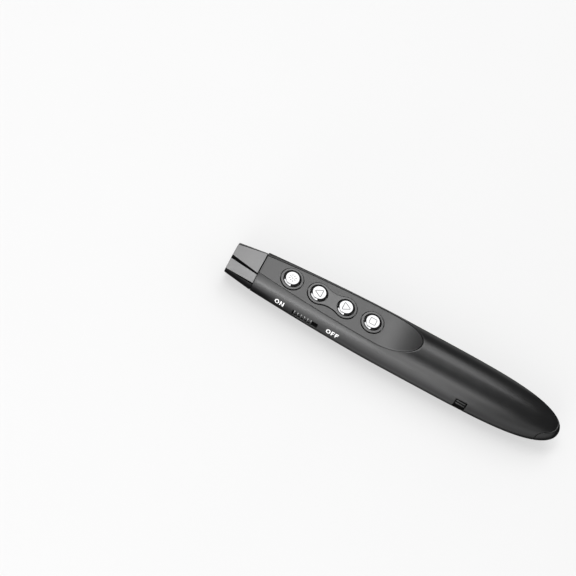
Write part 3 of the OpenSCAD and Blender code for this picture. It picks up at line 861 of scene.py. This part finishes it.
def build_cap():
    cols = end_columns(CAP_X, 1, 0.12)
    xs = [CAP_X + CAP_R - CAP_R * math.cos(math.radians(a)) for a in range(24, 91, 6)]
    cols += [(x, 0.0) for x in xs]
    a0 = math.asin((CAP_X + CAP_R + 0.15) / TIP)
    n = 30
    cols += [(TIP * math.sin(a0 + (math.pi / 2 - a0) * i / n), 0.0) for i in range(n)]
    s = Shape()
    rings = [low_section(x, g, cap_top(x), 0.12) for x, g in cols]
    rings.append([Vector((TIP * 0.9999, 0, 0))] * len(rings[0]))
    ids = [s.ring(r) for r in rings]
    for a, b in zip(ids, ids[1:]):
        s.strip(a, b, True)
    s.f.append(tuple(reversed(ids[0])))
    me = s.mesh("cap")
    return boolean(me, box_mesh((CAP_X - 1, -4.4, -1.0), (CAP_X + 3.6, 4.4, 1.0)))


# ---- keypad ----------------------------------------------------------------

def peanut(grow=0.0):
    """Outline and normals of the waisted pair of collars, counter-clockwise."""
    r, h, d = 4.5 + grow, 3.2 + grow, 5.85
    arc = (d * d + h * h - r * r) / (2 * (r - h))
    cx = (KEYS[1] + KEYS[2]) / 2
    reach = arc + r
    ang = math.atan2(h + arc, d)
    pts, nrm = [], []

    def put(x, y, nx, ny):
        pts.append(Vector((cx + x, y)))
        nrm.append(Vector((nx, ny)))
    n = 60
    for i in range(n + 1):
        a = -(math.pi - ang) + 2 * (math.pi - ang) * i / n
        put(d + r * math.cos(a), r * math.sin(a), math.cos(a), math.sin(a))
    half = math.pi / 2 - ang
    for i in range(1, 20):
        a = -half + 2 * half * i / 20
        # waist arc on the +Y side, from right to left
        put(-arc * math.sin(a), h + arc - arc * math.cos(a), math.sin(a), math.cos(a))
    for i in range(n + 1):
        a = ang + 2 * (math.pi - ang) * i / n
        put(-d + r * math.cos(a), r * math.sin(a), math.cos(a), math.sin(a))
    for i in range(1, 20):
        a = -half + 2 * half * i / 20
        put(arc * math.sin(a), -(h + arc - arc * math.cos(a)), -math.sin(a), -math.cos(a))
    return pts, nrm


def circle_outline(cx, r, n=96):
    pts = [Vector((cx + r * math.cos(2 * math.pi * i / n), r * math.sin(2 * math.pi * i / n))) for i in range(n)]
    nrm = [Vector((math.cos(2 * math.pi * i / n), math.sin(2 * math.pi * i / n))) for i in range(n)]
    return pts, nrm


def build_panel():
    s = Shape()
    rings = []
    for x, g in u_columns(JOINT + 0.1, 0.12):
        e, n1, n2, inw = keypad_edge(x, 0.0)
        c = share_y(inw)
        last = SCOOP_END - x < 1e-6
        inset = 0.41 + 0.19 * (1 - c)
        rho = 0.05 + 0.10 * c
        p = Vector((e.x + inw.x * inset, e.y + inw.y * inset, 0))
        if x < -10:
            p.x = x
        if last:
            p.y = 0.0
        p.y = max(0.0, p.y)
        p.z = facet_z(p.x) + g
        nw = Vector((-inw.x, -inw.y, 0)).normalized()
        fil = rounded_edge(p, nw, n2, rho, 5)
        for q in fil:
            q.y = 0.0 if last else max(0.0, q.y)
        low = Vector((fil[0].x, fil[0].y, facet_low(fil[0].x) + 0.01))
        half = [low, low.lerp(fil[0], 0.5)] + fil
        k = 18
        w = fil[-1].y
        top = [Vector((fil[-1].x, w * (1 - 2 * i / k), fil[-1].z)) for i in range(1, k)]
        mirror = [Vector((q.x, -q.y, q.z)) for q in reversed(half)]
        w = low.y
        under = [Vector((low.x, -w * (1 - 2 * i / 6), low.z)) for i in range(1, 6)]
        rings.append(half + top + mirror + under)
    ids = [s.ring(r) for r in rings]
    for a, b in zip(ids, ids[1:]):
        s.strip(a, b, True)
    s.f.append(tuple(reversed(ids[0])))
    me = s.mesh("panel")

    def down(x, y, d):
        return (x, y, FACET - d)
    for o, n in (circle_outline(KEYS[0], 4.77), circle_outline(KEYS[3], 4.77), peanut(0.27)):
        me = boolean(me, cutter(o, n, flare(0.08, 3.0), down))
    return me


def build_collars():
    top = FACET + 0.45
    parts = []
    # the carrier plate
    plate = boolean(box_mesh((-52.8, -8, FLOOR_Z - 1), (-7, 8, FLOOR_Z - 0.02)), solid_body(JOINT, 0, -1.75, 1.6, 72),
                    "INTERSECT")
    for i in (0, 3):
        o, n = circle_outline(KEYS[i], 4.5)
        parts.append(pillow(o, n, FLOOR_Z - 0.5, top, 0.1))
    o, n = peanut()
    parts.append(pillow(o, n, FLOOR_Z - 0.5, top, 0.1))
    me = plate
    for p in parts:
        me = boolean(me, p, "UNION")

    def down(x, y, d):
        return (x, y, top - d)
    for x in KEYS:
        o, n = circle_outline(x, 3.6)
        me = boolean(me, cutter(o, n, flare(0.12, 5.0), down))
    return me


def build_key(x):
    z1 = FLOOR_Z - 1.1
    top = 7.9
    prof = [(0, z1 - 1.15), (1.5, z1 - 1.15), (1.6, z1 - 1.05), (1.6, z1 - 0.7), (3.85, z1 - 0.7), (3.95, z1 - 0.6),
            (3.95, z1 - 0.1), (3.85, z1), (3.35, z1), (3.35, 6.2)]
    # rounded shoulder, steep chamfer, shallow bevel and the flat top, each turn softly rounded
    corners = [(3.35, 6.2), (3.35, top - 0.56), (2.88, top - 0.105), (2.64, top), (0.0, top)]
    for (r0, h0), (r1, h1), (r2, h2), rho in zip(corners, corners[1:], corners[2:], (0.12, 0.07, 0.07)):
        p, q, w = Vector((r0, h0)), Vector((r1, h1)), Vector((r2, h2))
        a, b = (q - p).normalized(), (w - q).normalized()
        prof += [(v.x, v.y) for v in rounded_edge(q, Vector((a.y, -a.x)), Vector((b.y, -b.x)), rho, 4)]
    prof += [(2.3, top), (1.2, top), (0, top)]
    me = revolve(prof, 128, "Z")
    for v in me.vertices:
        v.co.x += x
    return me


def ring_mark(outer, inner, z0, z1):
    s = Shape()
    a = s.ring([(p.x, p.y, z0) for p in outer])
    b = s.ring([(p.x, p.y, z1) for p in outer])
    c = s.ring([(p.x, p.y, z1) for p in inner])
    d = s.ring([(p.x, p.y, z0) for p in inner])
    for p, q in ((a, b), (b, c), (c, d), (d, a)):
        s.strip(p, q, True)
    return s.mesh("mark")


def outline_mark(corners, width, radius, x, z):
    """An outlined polygon of a given line width, centred on a key."""
    o, n = rounded_outline(corners, radius, 4)
    outer = [Vector((x + p.x + q.x * width / 2, p.y + q.y * width / 2)) for p, q in zip(o, n)]
    inner = [Vector((x + p.x - q.x * width / 2, p.y - q.y * width / 2)) for p, q in zip(o, n)]
    return ring_mark(outer, inner, z - 0.03, z + 0.012)


def tick(cx, cy, ang, length, width, x, z):
    """A short round-ended bar."""
    s = Shape()
    u = Vector((math.cos(ang), math.sin(ang)))
    v = Vector((-u.y, u.x))
    pts = []
    for k in range(9):
        a = -math.pi / 2 + math.pi * k / 8
        pts.append(Vector((cx, cy)) + u * (length / 2 + width / 2 * math.cos(a)) + v * (width / 2 * math.sin(a)))
    for k in range(9):
        a = math.pi / 2 + math.pi * k / 8
        pts.append(Vector((cx, cy)) + u * (-length / 2 + width / 2 * math.cos(a)) + v * (width / 2 * math.sin(a)))
    s.loft([[(x + p.x, p.y, h) for p in pts] for h in (z - 0.03, z + 0.012)])
    return s.mesh("tick")


def key_marks(i, x):
    z = 7.9
    if i == 0:
        parts = []
        o, n = circle_outline(0, 0.26, 24)
        s = Shape()
        s.loft([[(x + p.x, p.y, h) for p in o] for h in (z - 0.03, z + 0.012)])
        parts.append(s.mesh("dot"))
        for k in range(8):
            a = 2 * math.pi * (k + 0.5) / 8
            d = 1.15 if k % 2 else 1.3
            parts.append(tick(d * math.cos(a), d * math.sin(a), a, 0.55, 0.26, x, z))
        return join(parts)
    if i == 1:
        c = [(-1.9, 0.0), (1.15, -1.75), (1.15, 1.75)]
        return outline_mark(c, 0.34, 0.25, x, z)
    if i == 2:
        c = [(1.9, 0.0), (-1.15, 1.75), (-1.15, -1.75)]
        return outline_mark(c, 0.34, 0.25, x, z)
    c = [(-1.3, -1.3), (1.3, -1.3), (1.3, 1.3), (-1.3, 1.3)]
    return outline_mark(c, 0.3, 0.3, x, z)


# ---- nose ------------------------------------------------------------------

def top_plane():
    return Matrix.Translation((NOSE, 0, FACET - 0.35)) @ Matrix.Rotation(-math.atan(0.35 / 12.1), 4, "Y")


def side_plane(side):
    lean, off, rise = (55.3, 6.13, 0.1555) if side < 0 else (61.5, 5.77, 0.1588)
    m = Matrix.Rotation(math.radians(lean), 4, "X") @ Matrix.Translation((NOSE, 0, off)) @ \
        Matrix.Rotation(-math.atan(rise), 4, "Y")
    if side > 0:
        m = Matrix.Scale(-1, 4, (0, 1, 0)) @ m
    return m


def moved(me, m):
    out = me.copy()
    out.transform(m)
    if m.determinant() < 0:
        out.flip_normals()
    return out


def build_top_plate():
    o, n = rounded_outline([(0.05, -2.55), (11.85, -4.75), (11.85, 4.75), (0.05, 2.55)], 0.16)
    return moved(pillow(o, n, -1.14, 0.0, 0.13), top_plane())


def build_side_plate(side):
    corners = [(0.04, -2.55), (12.07, -1.85), (12.07, 2.12), (0.04, 2.35)]
    if side > 0:
        corners = [(0.04, -2.2), (12.07, -1.08), (12.07, 2.87), (0.04, 2.95)]
    o, n = rounded_outline(corners, 0.16)
    return moved(pillow(o, n, -0.99, 0.0, 0.13), side_plane(side))


def build_nose_core():
    x1 = JOINT - 0.25
    prof = [(0.0, NOSE)]
    for i in range(6):
        a = math.radians(90 * i / 5)
        prof.append((6.6 - 0.45 * (1 - math.sin(a)), NOSE + 0.45 * (1 - math.cos(a))))
    prof += [(6.6 + 1.5 * t - 0.0, NOSE + 0.45 + (x1 - 0.12 - NOSE - 0.45) * t) for t in (0.25, 0.5, 0.75, 1.0)]
    prof += [(8.06, x1 - 0.03), (7.98, x1), (0.0, x1)]
    me = revolve(prof, 128, "X")
    tenon = revolve([(0.0, x1 - 1), (6.45, x1 - 1), (6.45, x1 + 5.4), (6.35, x1 + 5.5), (0.0, x1 + 5.5)], 96, "X")
    tenon = boolean(tenon, box_mesh((x1, -10, FLOOR_Z - 0.25), (x1 + 10, 10, 12)))
    me = boolean(me, tenon, "UNION")
    neck = revolve([(0.0, x1 - 1), (7.8, x1 - 1), (7.8, JOINT - 0.02), (0.0, JOINT - 0.02)], 96, "X")
    neck = boolean(neck, box_mesh((x1 - 2, -10, FACET - 0.5), (x1 + 10, 10, 12)))
    me = boolean(me, neck, "UNION")
    me = boolean(me, moved(box_mesh((-2, -10, -1.15), (12.05, 10, 8)), top_plane()))
    for side in (-1, 1):
        low = -2.65 if side < 0 else -2.3
        me = boolean(me, moved(box_mesh((-2, low, -1), (12.16, 9.4, 8)), side_plane(side)))
    recess = [(0.0, NOSE - 1), (4.05, NOSE - 1), (4.05, NOSE - 0.01)]
    for i in range(5):
        a = math.radians(80 * (1 - i / 4))
        recess.append((3.9 + 0.17 - 0.17 * math.cos(a), NOSE + 0.17 - 0.17 * math.sin(a)))
    recess += [(3.9, NOSE + 1.3), (0.0, NOSE + 1.3)]
    me = boolean(me, revolve(recess, 96, "X"))
    return boolean(me, revolve([(0.0, NOSE - 2), (3.05, NOSE - 2), (3.05, NOSE + 29), (0.0, NOSE + 29)], 96, "X"))


def build_window():
    prof = [(0.0, -71.56)]
    prof += [(3.85 * t, -71.56 + 0.12 * t * t) for t in (0.25, 0.5, 0.75, 0.93)]
    prof += [(3.80, -71.42), (3.85, -71.34), (3.85, -70.72), (0.0, -70.72)]
    return revolve(prof, 96, "X")


# ---- power slide -----------------------------------------------------------

def build_knob():
    """Knob with six rounded ribs, its edges rounded, and the flange behind the wall, which covers the whole slot."""
    x0, x1, z0, z1 = -41.0, -32.6, -0.7, 1.9
    s = Shape()
    nx, nz = 168, 20

    def ease(t):
        t = max(0.0, min(1.0, t))
        return t * t * (3 - 2 * t)

    def depth(x, z):
        edge = min(x - x0, x1 - x, z - z0, z1 - z)
        body = outer_r(x) - 0.55 - 0.2 * (1 - math.sqrt(max(0.0, 1 - (1 - min(1.0, edge / 0.2)) ** 2)))
        rib = 0.0
        for i in range(6):
            c = x0 + 0.6 + 1.47 * i
            u = abs(x - c) / 0.44
            if u < 1:
                rib = max(rib, (1 - u ** 2.6))
        ends = ease((z - z0) / 0.4) * ease((z1 - z) / 1.0)
        return body + 0.60 * rib * ends
    rows = []
    for j in range(nz + 1):
        t = j / nz
        z = z0 + (z1 - z0) * (0.5 - 0.5 * math.cos(math.pi * t))
        rows.append([(x0 + (x1 - x0) * i / nx, z) for i in range(nx + 1)])
    grid = [s.ring([(x, -depth(x, z), z) for x, z in row]) for row in rows]
    for a, b in zip(grid, grid[1:]):
        s.strip(a, b)
    border = grid[0][:] + [g[-1] for g in grid[1:]] + grid[-1][:-1][::-1] + [g[0] for g in grid[1:-1]][::-1]
    back = s.ring([(s.v[i][0], -6.8, s.v[i][2]) for i in border])
    s.strip(border, back, True)
    s.f.append(tuple(back))
    knob = s.mesh("knob")
    o, n = rounded_outline([(x0 - 2.7, z0 - 1), (x1 + 2.7, z0 - 1), (x1 + 2.7, z1 + 0.8), (x0 - 2.7, z1 + 0.8)], 0.2)
    f = Shape()
    f.loft([[(p.x, y, p.y) for p in o] for y in (-6.9, -6.3)])
    return boolean(knob, f.mesh("flange"), "UNION")


# ---- lettering -------------------------------------------------------------

def letter_loops(ch, h, w, t):
    """Outer and inner outlines of bold plain capitals, in a box w wide and h high. Each item is (outer, inner or None)."""
    if ch == "O":
        def oval(a, b, n=40):
            out = []
            for i in range(n):
                k = 2 * math.pi * i / n
                c, s_ = math.cos(k), math.sin(k)
                p = 2.1
                out.append(Vector((w / 2 + a * math.copysign(abs(c) ** (2 / p), c), h / 2 + b * math.copysign(abs(s_) ** (2 / p), s_))))
            return out
        return [(oval(w / 2, h / 2), oval(w / 2 - t, h / 2 - t))]
    if ch == "N":
        d = t * 1.0
        pts = [(0, 0), (t, 0), (t, h - d * 1.35), (w - t, 0), (w, 0), (w, h), (w - t, h), (w - t, d * 1.35), (t, h), (0, h)]
        return [([Vector(p) for p in pts], None)]
    if ch == "F":
        m = h * 0.53
        pts = [(0, 0), (t, 0), (t, m - t / 2), (w * 0.86, m - t / 2), (w * 0.86, m + t / 2), (t, m + t / 2), (t, h - t), (w, h - t),
               (w, h), (0, h)]
        return [([Vector(p) for p in pts], None)]
    return []


def build_word(word, x_mid, z_mid, h, widths, t, gap, rise=0.018, sunk=0.05, cell=0.14):
    """Letters printed on the left wall: flat outlines cut into small cells and wrapped round the body."""
    total = sum(widths) + (len(word) - 1) * gap
    parts = []
    for k, ch in enumerate(word):
        w = widths[k]
        u0 = -total / 2 + sum(widths[:k]) + k * gap
        for outer, inner in letter_loops(ch, h, w, t):
            bm = bmesh.new()
            vo = [bm.verts.new((p.x + u0, p.y - h / 2, 0)) for p in outer]
            eo = [bm.edges.new((vo[i], vo[(i + 1) % len(vo)])) for i in range(len(vo))]
            edges = eo
            if inner:
                vi = [bm.verts.new((p.x + u0, p.y - h / 2, 0)) for p in inner]
                edges = edges + [bm.edges.new((vi[i], vi[(i + 1) % len(vi)])) for i in range(len(vi))]
            bmesh.ops.triangle_fill(bm, edges=edges, use_beauty=True, use_dissolve=False)
            # cut into cells so that the letters follow the curve
            for axis, lo, hi in ((0, u0, u0 + w), (1, -h / 2, h / 2)):
                n = int((hi - lo) / cell)
                for i in range(1, n):
                    v = lo + (hi - lo) * i / n + 0.0007
                    co = (v, 0, 0) if axis == 0 else (0, v, 0)
                    no = (1, 0, 0) if axis == 0 else (0, 1, 0)
                    bmesh.ops.bisect_plane(bm, geom=bm.verts[:] + bm.edges[:] + bm.faces[:], plane_co=co, plane_no=no)
            bmesh.ops.recalc_face_normals(bm, faces=bm.faces)
            if bm.faces[:] and sum(f.normal.z * f.calc_area() for f in bm.faces) < 0:
                bmesh.ops.reverse_faces(bm, faces=bm.faces)
            ret = bmesh.ops.extrude_face_region(bm, geom=bm.faces[:])
            newv = [g for g in ret["geom"] if isinstance(g, bmesh.types.BMVert)]
            for v in newv:
                v.co.z = 1.0
            top = set(newv)
            for v in bm.verts:
                x = x_mid + v.co.x
                r = outer_r(x)
                phi = math.acos(z_mid / r) - v.co.y / r
                d = rise if v in top else -sunk
                v.co = Vector((x, -(r + d) * math.sin(phi), (r + d) * math.cos(phi)))
            bmesh.ops.recalc_face_normals(bm, faces=bm.faces)
            me = bpy.data.meshes.new("letter")
            bm.to_mesh(me)
            bm.free()
            parts.append(me)
    return join(parts)


# ---- pieces ----------------------------------------------------------------

place(build_upper_shell(), "upper_shell_skin", "handset", M["shell"], ["upper_shell"])
place(build_lower_front(), "lower_front_skin", "handset", M["under"], ["lower_front_shell"])
place(build_lower_tail(), "lower_tail_skin", "handset", M["under"], ["lower_tail_shell"])
cover_ob = place(build_cover(), "battery_cover_skin", "cover", M["under"], ["battery_cover"])
place(build_cap(), "receiver_cap_skin", "usb_receiver", M["shell"], ["receiver_cap"])
place(build_panel(), "keypad_panel", "handset", M["panel"], ["top_panel"])
place(build_collars(), "keypad_collars", "handset", M["collar"], ["keypad_frame"])
for i, x in enumerate(KEYS):
    name = KEY_NAMES[i]
    place(build_key(x), name + "_key_cap", name + "_button", M["chrome"], [name + "_key"])
    place(key_marks(i, x), name + "_symbol", name + "_button", M["mark"])
nose_ob = place(build_nose_core(), "nose_body", "handset", M["nose_black"], ["nose_core"])
top_ob = place(build_top_plate(), "nose_plate_top", "handset", M["silver"], ["nose_top_plate"])
left_ob = place(build_side_plate(-1), "nose_plate_left", "handset", M["silver"], ["nose_left_plate"])
right_ob = place(build_side_plate(1), "nose_plate_right", "handset", M["silver"], ["nose_right_plate"])


def paint_shade(ob, test):
    """Gives the faces whose centre, in millimetres about the axis, passes the test a near-black finish that stands for
    shade: painted shade.
    """
    ob.data.materials.append(M["painted_shade"])
    for poly in ob.data.polygons:
        c = Vector((poly.center.x / MM, poly.center.y / MM, poly.center.z / MM - LIFT))
        if test(c):
            poly.material_index = 1


# painted shade: the nose body's seats under the plates, seen in the grooves between them, are made near-black
paint_shade(nose_ob, lambda c: c.x > NOSE + 0.3 and math.hypot(c.y, c.z) < 6.5 + 1.5 * (c.x - NOSE) / 11.85 - 0.12)
# painted shade: the spring arm's stem inside the catch window is made near-black, for the shade in the cavity
paint_shade(cover_ob, lambda c: 30.2 < c.x < 34.9 and c.z > -5.45 and abs(c.y) > 7.2
       and math.hypot(c.y, c.z) < outer_r(c.x) - 0.7)
# painted shade: the plates' sides, more than 0.2 mm below their tops, are made near-black so the grooves between plates
# read as shade
for ob, plane in ((top_ob, top_plane()), (left_ob, side_plane(-1)), (right_ob, side_plane(1))):
    back = plane.inverted()
    paint_shade(ob, lambda c: (back @ c).z < -0.2)
place(build_window(), "laser_window_disc", "handset", M["window"], ["laser_window"])
place(build_knob(), "power_slide_knob", "power_slide", M["knob"], ["power_knob"])
place(build_word("ON", -47.3, 1.57, 2.45, [1.8, 1.65], 0.40, 0.42), "word_on", "handset", M["letter"])
place(build_word("OFF", -23.67, 1.65, 2.45, [1.8, 1.3, 1.3], 0.40, 0.42), "word_off", "handset", M["letter"])

CAD_LOOKS = {
    "laser_barrel": "brass", "laser_lens": "lens", "laser_diode": "brass", "laser_driver_board": "board",
    "laser_leads": "wire", "main_board": "board", "tact_switch_cases": "ic", "controller_chip": "ic",
    "crystal_can": "steel", "board_components": "ceramic", "power_switch_case": "steel",
    "battery_chassis": "chassis", "battery_can": "steel", "battery_sleeve": "cell", "battery_cap": "steel",
    "positive_contact": "steel", "negative_contact": "steel", "battery_spring": "spring", "battery_leads": "wire",
    "case_screws": "steel", "receiver_bay": "chassis", "laser_plunger": "ic", "page_forward_plunger": "ic",
    "page_back_plunger": "ic", "blank_screen_plunger": "ic", "power_lever": "steel", "cover_foam_pad": "foam",
    "usb_plug_shell": "plug", "usb_tongue": "tongue", "usb_contacts": "gold", "receiver_board": "board",
}
for name, look in CAD_LOOKS.items():
    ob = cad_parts[name]
    ob.data.materials.clear()
    ob.data.materials.append(M[look])

# ---- floor, light and camera -----------------------------------------------

fl = bpy.data.meshes.new("floor")
fl.from_pydata([(-6, -6, 0), (6, -6, 0), (6, 6, 0), (-6, 6, 0)], [], [(0, 1, 2, 3)])
floor = bpy.data.objects.new("floor", fl)
bpy.context.scene.collection.objects.link(floor)
fm = surface("pale_floor", (0.22, 0.22, 0.22), 0.7, spec=0.0, spread=0.01, grain=(0.02, 0.01), blotch=0.002,
             rough_var=0.03, bump=(0.5, 0.0))
fp = next(n for n in fm.node_tree.nodes if n.type == "BSDF_PRINCIPLED")
fp.inputs["Emission Color"].default_value = (1, 1, 1, 1)
fp.inputs["Emission Strength"].default_value = 0.51
fl.materials.append(fm)
floor.visible_glossy = False


def glow(name, strength):
    m = bpy.data.materials.new(name)
    m.use_nodes = True
    m.node_tree.nodes.clear()
    e = node(m.node_tree, "ShaderNodeEmission")
    e.inputs["Strength"].default_value = strength
    o = node(m.node_tree, "ShaderNodeOutputMaterial")
    m.node_tree.links.new(e.outputs[0], o.inputs["Surface"])
    return m


def only(ob, camera=False, glossy=False):
    ob.visible_camera, ob.visible_glossy = camera, glossy
    ob.visible_diffuse = ob.visible_transmission = ob.visible_shadow = ob.visible_volume_scatter = False


# a dim wall all round, seen by gloss only, so that the pen's gloss mirrors no more than the lights and cards
prof = [(5.9 * math.cos(math.radians(a)), 5.9 * math.sin(math.radians(a))) for a in range(0, 91, 6)]
wall = revolve([(max(0.0, r), h) for r, h in prof], 64, "Z", closed_profile=False)
wall_ob = bpy.data.objects.new("backdrop", wall)
bpy.context.scene.collection.objects.link(wall_ob)
wall.materials.append(glow("dim_backdrop", 0.08))
only(wall_ob, glossy=True)

# white reflector cards lying in front of the pen, seen by its gloss only
CARDS = [("card_near", -0.038, 0.034, -0.024, -0.012, 0.62), ("card_near_left", -0.052, -0.038, -0.024, -0.012, 0.25),
         ("card_near_right", 0.034, 0.40, -0.024, -0.012, 0.5),
         ("card_mid", -0.050, 0.034, -0.050, -0.024, 1.6), ("card_mid_left", -0.5, -0.050, -0.050, -0.024, 1.2),
         ("card_mid_right", 0.034, 0.40, -0.050, -0.024, 1.0),
         ("card_far", -0.5, 0.045, -0.60, -0.050, 3.2), ("card_far_right", 0.045, 0.40, -0.60, -0.050, 0.9),
         ("card_back", -0.5, 0.064, 0.030, 0.60, 0.37), ("card_back_right", 0.064, 0.40, 0.030, 0.60, 0.05)]
for name, x0, x1, y0, y1, strength in CARDS:
    cme = bpy.data.meshes.new(name)
    cme.from_pydata([(x0, y0, 0.0003), (x1, y0, 0.0003), (x1, y1, 0.0003), (x0, y1, 0.0003)], [], [(0, 1, 2, 3)])
    card = bpy.data.objects.new(name, cme)
    bpy.context.scene.collection.objects.link(card)
    cme.materials.append(glow(name + "_white", strength))
    only(card, glossy=True)

# upright white reflectors to the left and right of the front lights, seen by gloss only
for name, a0, a1, top, strength in (("wing_left", -78, -20, 0.60, 4.5), ("wing_right", 18, 50, 0.36, 0.9)):
    s = Shape()
    arc = [math.radians(a0 + (a1 - a0) * i / 16) for i in range(17)]
    low = s.ring([(-0.03 + math.sin(a), -math.cos(a), 0.10) for a in arc])
    high = s.ring([(-0.03 + math.sin(a), -math.cos(a), top) for a in arc])
    s.strip(low, high)
    wme = s.mesh(name)
    wing = bpy.data.objects.new(name, wme)
    bpy.context.scene.collection.objects.link(wing)
    wme.materials.append(glow(name + "_white", strength))
    only(wing, glossy=True)

world = bpy.data.worlds.new("studio")
bpy.context.scene.world = world
world.use_nodes = True
world.node_tree.nodes["Background"].inputs["Color"].default_value = (1, 1, 1, 1)
world.node_tree.nodes["Background"].inputs["Strength"].default_value = 0.90
world.cycles_visibility.glossy = False


def softbox(name, rise, x0, x1, power, tall=0.18, away=1.04):
    """Soft light that faces the pen. rise is its angle round the pen's axis: 0 in front, 90 overhead."""
    light = bpy.data.lights.new(name, "AREA")
    light.shape = "RECTANGLE"
    light.size, light.size_y = x1 - x0, tall
    light.energy = power
    a = math.radians(rise)
    where = Vector(((x0 + x1) / 2, -away * math.cos(a), 0.01 + away * math.sin(a)))
    ob = bpy.data.objects.new(name, light)
    bpy.context.scene.collection.objects.link(ob)
    ob.location = where
    ob.rotation_mode = "QUATERNION"
    ob.rotation_quaternion = (Vector((where.x, 0, 0.01)) - where).to_track_quat("-Z", "Y")
    return ob


softbox("top_left_far", 92, -0.62, -0.37, 1.5, 0.4)
softbox("top_left", 90, -0.37, -0.12, 5.3, 0.5)
softbox("key", 120, -0.29, 0.13, 4.2, 0.60)
softbox("key_right", 112, 0.13, 0.34, 0.56)
softbox("front_low", 6, -0.35, 0.05, 3.0)
softbox("front_mid", 21, -0.35, 0.07, 2.31, 0.36)
softbox("front_high", 42, -0.35, 0.05, 2.0, 0.40)
softbox("front_right", 31, 0.05, 0.20, 0.95, 0.32)

A = math.radians(28.4)
BACK = Vector((0, -0.485, 0.875)).normalized()
UP0 = Vector((0, 0.875, 0.485)).normalized()
RIGHT = Vector((1, 0, 0)) * math.cos(A) + UP0 * math.sin(A)
UP = -Vector((1, 0, 0)) * math.sin(A) + UP0 * math.cos(A)
AIM = Vector((-0.0470, 0, 0.0098)) - UP0 * 0.00043
DIST = 0.90
cam = bpy.data.cameras.new("camera")
cam_ob = bpy.data.objects.new("camera", cam)
bpy.context.scene.collection.objects.link(cam_ob)
cam.sensor_width = 36
cam.lens = 36 / 2 / (0.2233 / 2 / DIST)
cam.clip_start, cam.clip_end = 0.05, 20
cam_ob.matrix_world = Matrix((
    (RIGHT.x, UP.x, BACK.x, AIM.x + BACK.x * DIST),
    (RIGHT.y, UP.y, BACK.y, AIM.y + BACK.y * DIST),
    (RIGHT.z, UP.z, BACK.z, AIM.z + BACK.z * DIST),
    (0, 0, 0, 1)))
bpy.context.scene.camera = cam_ob
bpy.context.scene.view_settings.view_transform = "Standard"
bpy.context.scene.view_settings.look = "None"
bpy.context.scene.view_settings.exposure = 0.0
